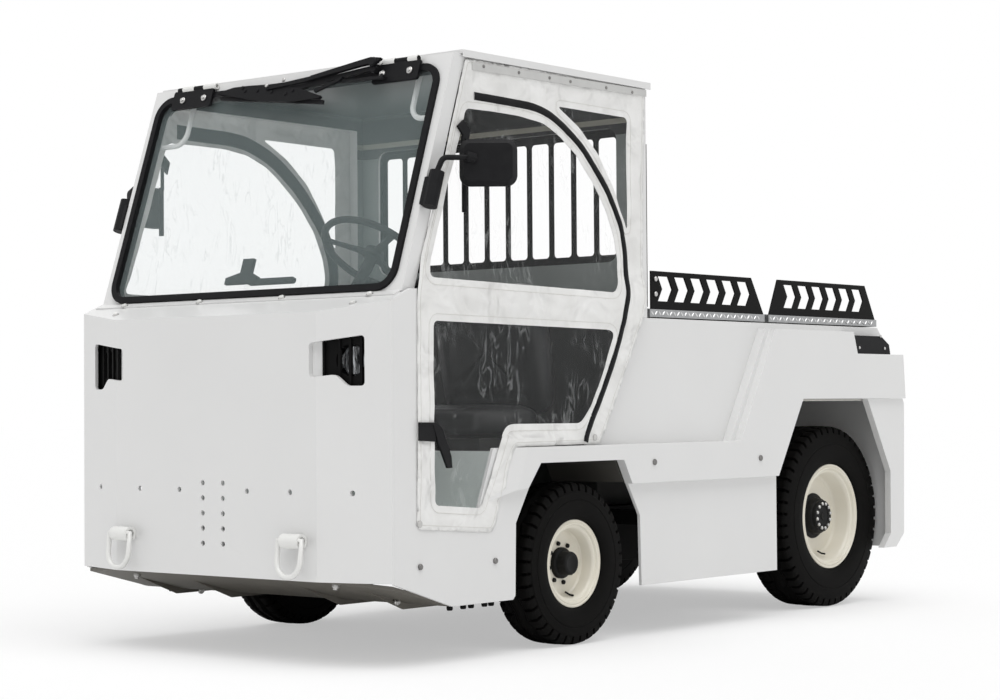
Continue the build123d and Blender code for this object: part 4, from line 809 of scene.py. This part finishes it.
for u in (-516, -411, 416, 533):
    fasten("hinge_bolts", on_screen(u, SEAL_TOP - 23, 18), OUT_OF_SCREEN, 0.0115, 0.005, 14)
    fasten("hinge_bolts", on_screen(u, SEAL_TOP - 23, 23), OUT_OF_SCREEN, 0.0070, 0.005, 6)
ledge_up = Vector((0, -sin(LEDGE_TILT), cos(LEDGE_TILT)))
for x, y, z in ((-0.544, -1.4485, 1.1380), (-0.180, -1.4466, 1.1388), (0.197, -1.4443, 1.1398),
                (0.581, -1.4504, 1.1372), (-0.516, -1.5122, 1.1063), (0.5615, -1.5043, 1.1096)):
    fasten("sill_washers", (x, y, z), ledge_up, 0.0125, 0.0015, 16)
    fasten("sill_heads", Vector((x, y, z)) + ledge_up * 0.0015, ledge_up, 0.0088, 0.0065, 16)
fasten("hinge_bolts", (-0.0547, -1.1775, 1.8843), (0, -0.95, 0.31), 0.0065, 0.005, 12)
under_nose, inward = (0, -0.25, -0.97), (1, 0, 0)
for x, y, z, out in ((-0.4534, -1.4753, 0.2437, under_nose), (0.4871, -1.507, 0.252, under_nose),
                     (-0.515, -1.1355, 0.1633, inward), (0.525, -1.2792, 0.1859, inward)):
    fasten("belly_bolts", (x, y, z), out, 0.0115, 0.010, 12)
    fasten("belly_bolts", Vector((x, y, z)) + Vector(out) * 0.010, out, 0.0075, 0.006, 6)
for name, (finish, body) in FASTENERS.items():
    piece(name, *joined(heads[name]), finish, body, smooth=30)


# Wiper: leaf spring bow with rivets, thick arm, link and blade edge over the plain bars
def prism(outline, low, high):
    """A flat shape on the windscreen's plane, between two heights off it."""
    return slab(*([on_screen(u, v, off) for u, v in outline] for off in (low, high)))


bow = ((-330, 744), (-250, 757), (-178, 756), (-81, 751), (48, 728), (178, 684), (172, 676), (34, 676), (-103, 692),
       (-250, 724))
backing = ((-338, 738), (-334, 747), (-86, 722), (178, 682), (172, 674), (-90, 708))
arm = ((421, 788), (374, 795), (330, 789), (118, 757), (112, 741), (330, 769), (372, 772), (410, 776))
arm_end = ((118, 757), (-81, 741), (-84, 729), (112, 741))
link = ((262, 741), (250, 727), (150, 697), (143, 706))
rivets = ((-190, 738), (-130, 733), (-60, 722), (10, 708), (-205, 751), (40, 716))
pins = ((-81, 742, 43), (420, 772, 36))
parts = [prism(*shape) for shape in ((bow, 33.5, 37), (backing, 27.5, 33), (arm, 34, 46), (arm_end, 36, 43),
                                     (link, 33.5, 41))]
parts += [head(on_screen(u, v, 37), OUT_OF_SCREEN, 0.0065, 0.003, 10) for u, v in rivets]
parts.append(head(on_screen(388, 777, 36), OUT_OF_SCREEN, 0.0165, 0.015, 24))
piece("wiper_linkage", *joined(parts), seal, smooth=30)
piece("wiper_pins", *joined([head(on_screen(*pin), OUT_OF_SCREEN, 0.006, 0.006, 10) for pin in pins]), steel,
      smooth=30)


# Hinge sleeves of the windscreen: white, either side of a black middle
def sleeve(u0, u1, r=0.0112, sides=20):
    """A tube along the seal's top, between two places across."""
    a, b = (on_screen(u, SEAL_TOP + 20, 12) for u in (u0, u1))
    rows = ((0, 0.55 * r), (0, 0.9 * r), (0.02, r), (0.98, r), (1, 0.9 * r), (1, 0.55 * r))
    turns = [2 * pi * k / sides for k in range(sides)]
    verts = [a.lerp(b, t) + Vector((0, radius * cos(q), radius * sin(q))) for t, radius in rows for q in turns]
    return verts, ring_faces(len(rows), sides, True)


SLEEVES = ((-530, -474), (-426, -365), (391, 457), (514, 554))
piece("hinge_sleeves", *joined([sleeve(*ends) for ends in SLEEVES]), ring_white, smooth=35)


# Angle bars at the ends of the window guard
GUARD_FOOT_Z, GUARD_TOP_Z = 1.135, 1.702
ANGLE_BAR = ((0.588, -0.1289), (0.665, -0.1289), (0.668, -0.1270), (0.668, -0.1220), (0.667, -0.1212),
             (0.6655, -0.1212), (0.6645, -0.1220), (0.6645, -0.1262), (0.588, -0.1262))
made = []
for side, _ in SIDES:
    verts, faces = slab(*([(side * x, y, z) for x, y in ANGLE_BAR] for z in (GUARD_FOOT_Z, GUARD_TOP_Z)))
    made.append((verts, [f[::side] for f in faces]))
piece("guard_angles", *joined(made), black, smooth=30)


# Tread plate: raised lugs, turned by 45 degrees one way and the other
def tread_lug(centre, along, normal, long, wide, high=0.0018):
    """A six-sided lug with sloping sides, open at its foot."""
    along, normal = Vector(along).normalized(), Vector(normal)
    across = normal.cross(along)
    verts = []
    for grow, lift in ((1.0, 0.0), (0.55, 1.0)):
        for a, b in ((-1, 0), (-0.45, -1), (0.45, -1), (1, 0), (0.45, 1), (-0.45, 1)):
            verts.append(Vector(centre) + along * a * long * (grow + (1 - grow) * 0.4) + across * b * wide * grow
                         + normal * high * lift)
    return verts, [tuple(range(6, 12))] + ring_faces(2, 6)


EDGE_PITCH, TOP_PITCH, RAIL_GAP = 0.0225, 0.030, 0.022
for name, (y0, y1) in LIDS.items():
    made = []
    for k in range(int((y1 - y0 - 0.02) / EDGE_PITCH)):
        y = y0 + 0.015 + EDGE_PITCH * k
        for side, _ in SIDES:
            made.append(tread_lug((side * RECESS_X, y, DECK_Z - 0.0155), (0, 1, 1 if k % 2 else -1), (side, 0, 0),
                                  0.0112, 0.0030))
    for k in range(int((y1 - y0 - 0.04) / TOP_PITCH)):
        for j in range(int((2 * RECESS_X - 0.06) / TOP_PITCH)):
            x, y = -RECESS_X + 0.038 + TOP_PITCH * j, y0 + 0.03 + TOP_PITCH * k
            if abs(abs(x) - RAIL_X) > RAIL_GAP:
                turn = 1 if (j + k) % 2 else -1
                made.append(tread_lug((x, y, DECK_Z), (1, turn, 0), (0, 0, 1), 0.0105, 0.0032))
    piece(f"lid_lugs_{name}", *joined(made), lug_metal, body=f"deck_lid_{name}", smooth=25)


# Floor, world and light
def floor(half_width=60, glow=0.45):
    """White paper. Part of its white is its own to the camera, so the shadow stays soft."""
    m, tree, place = new_material("floor_paper")
    paint(tree, {"Base Color": mixed(tree, (0.93, 0.93, 0.93), (0.94, 0.94, 0.94), cloud(tree, place, Scale=2)),
                 "Roughness": 0.9, "Specular IOR Level": 0.1})
    share = add(tree, "Math", {0: add(tree, "LightPath").outputs["Is Camera Ray"], 1: glow},
                operation="MULTIPLY")
    both = add(tree, "MixShader", {"Fac": share.outputs[0], 1: tree.nodes["Principled BSDF"].outputs["BSDF"],
                                   2: add(tree, "Emission").outputs["Emission"]})
    feed(tree, tree.nodes["Material Output"].inputs["Surface"], both.outputs["Shader"])
    mesh = bpy.data.meshes.new("floor")
    corners = [(x * half_width, y * half_width, 0) for x, y in ((-1, -1), (1, -1), (1, 1), (-1, 1))]
    mesh.from_pydata(corners, [], [(0, 1, 2, 3)])
    mesh.materials.append(m)
    obj = placed("floor", mesh)


floor()

# White where it is seen, mirrored or looked through, dimmer as light
DIM, BRIGHT = 0.52, 1.0
world = bpy.data.worlds.new("studio")
bpy.context.scene.world = world
world.use_nodes = True
tree = world.node_tree
tree.nodes.clear()
path = add(tree, "LightPath").outputs
seen = path["Is Camera Ray"]
for ray in ("Is Glossy Ray", "Is Transmission Ray"):
    seen = add(tree, "Math", {0: seen, 1: path[ray]}, operation="MAXIMUM").outputs[0]
dim, bright = (add(tree, "Background", {"Color": (1, 1, 1, 1), "Strength": strength}).outputs[0]
               for strength in (DIM, BRIGHT))
both = add(tree, "MixShader", {"Fac": seen, 1: dim, 2: bright})
add(tree, "OutputWorld", {"Surface": both.outputs[0]})

sun = bpy.data.lights.new("overhead", "SUN")
sun.energy = 1.8
sun.angle = radians(60)
overhead = placed("overhead", sun)
overhead.rotation_euler = (radians(12), radians(14), 0)

# The photograph's viewpoint, fitted to its edges
CAMERA_AT = (5.242, -6.481, 0.797)
YAW, PITCH, ROLL = radians(39.503), radians(1.401), radians(-0.404)
ahead = Vector((-sin(YAW) * cos(PITCH), cos(YAW) * cos(PITCH), sin(PITCH)))
level = Vector((cos(YAW), sin(YAW), 0))
upward = level.cross(ahead)
right = level * cos(ROLL) + upward * sin(ROLL)
top = upward * cos(ROLL) - level * sin(ROLL)
lens = bpy.data.cameras.new("camera")
lens.lens = 80.89
lens.sensor_width = 36
lens.clip_end = 300
camera = placed("camera", lens)
camera.matrix_world = Matrix.Translation(CAMERA_AT) @ Matrix((
    (right.x, top.x, -ahead.x, 0), (right.y, top.y, -ahead.y, 0), (right.z, top.z, -ahead.z, 0), (0, 0, 0, 1)))

scene = bpy.context.scene
scene.camera = camera
scene.render.resolution_x, scene.render.resolution_y = 1000, 700
scene.view_settings.view_transform = "Standard"
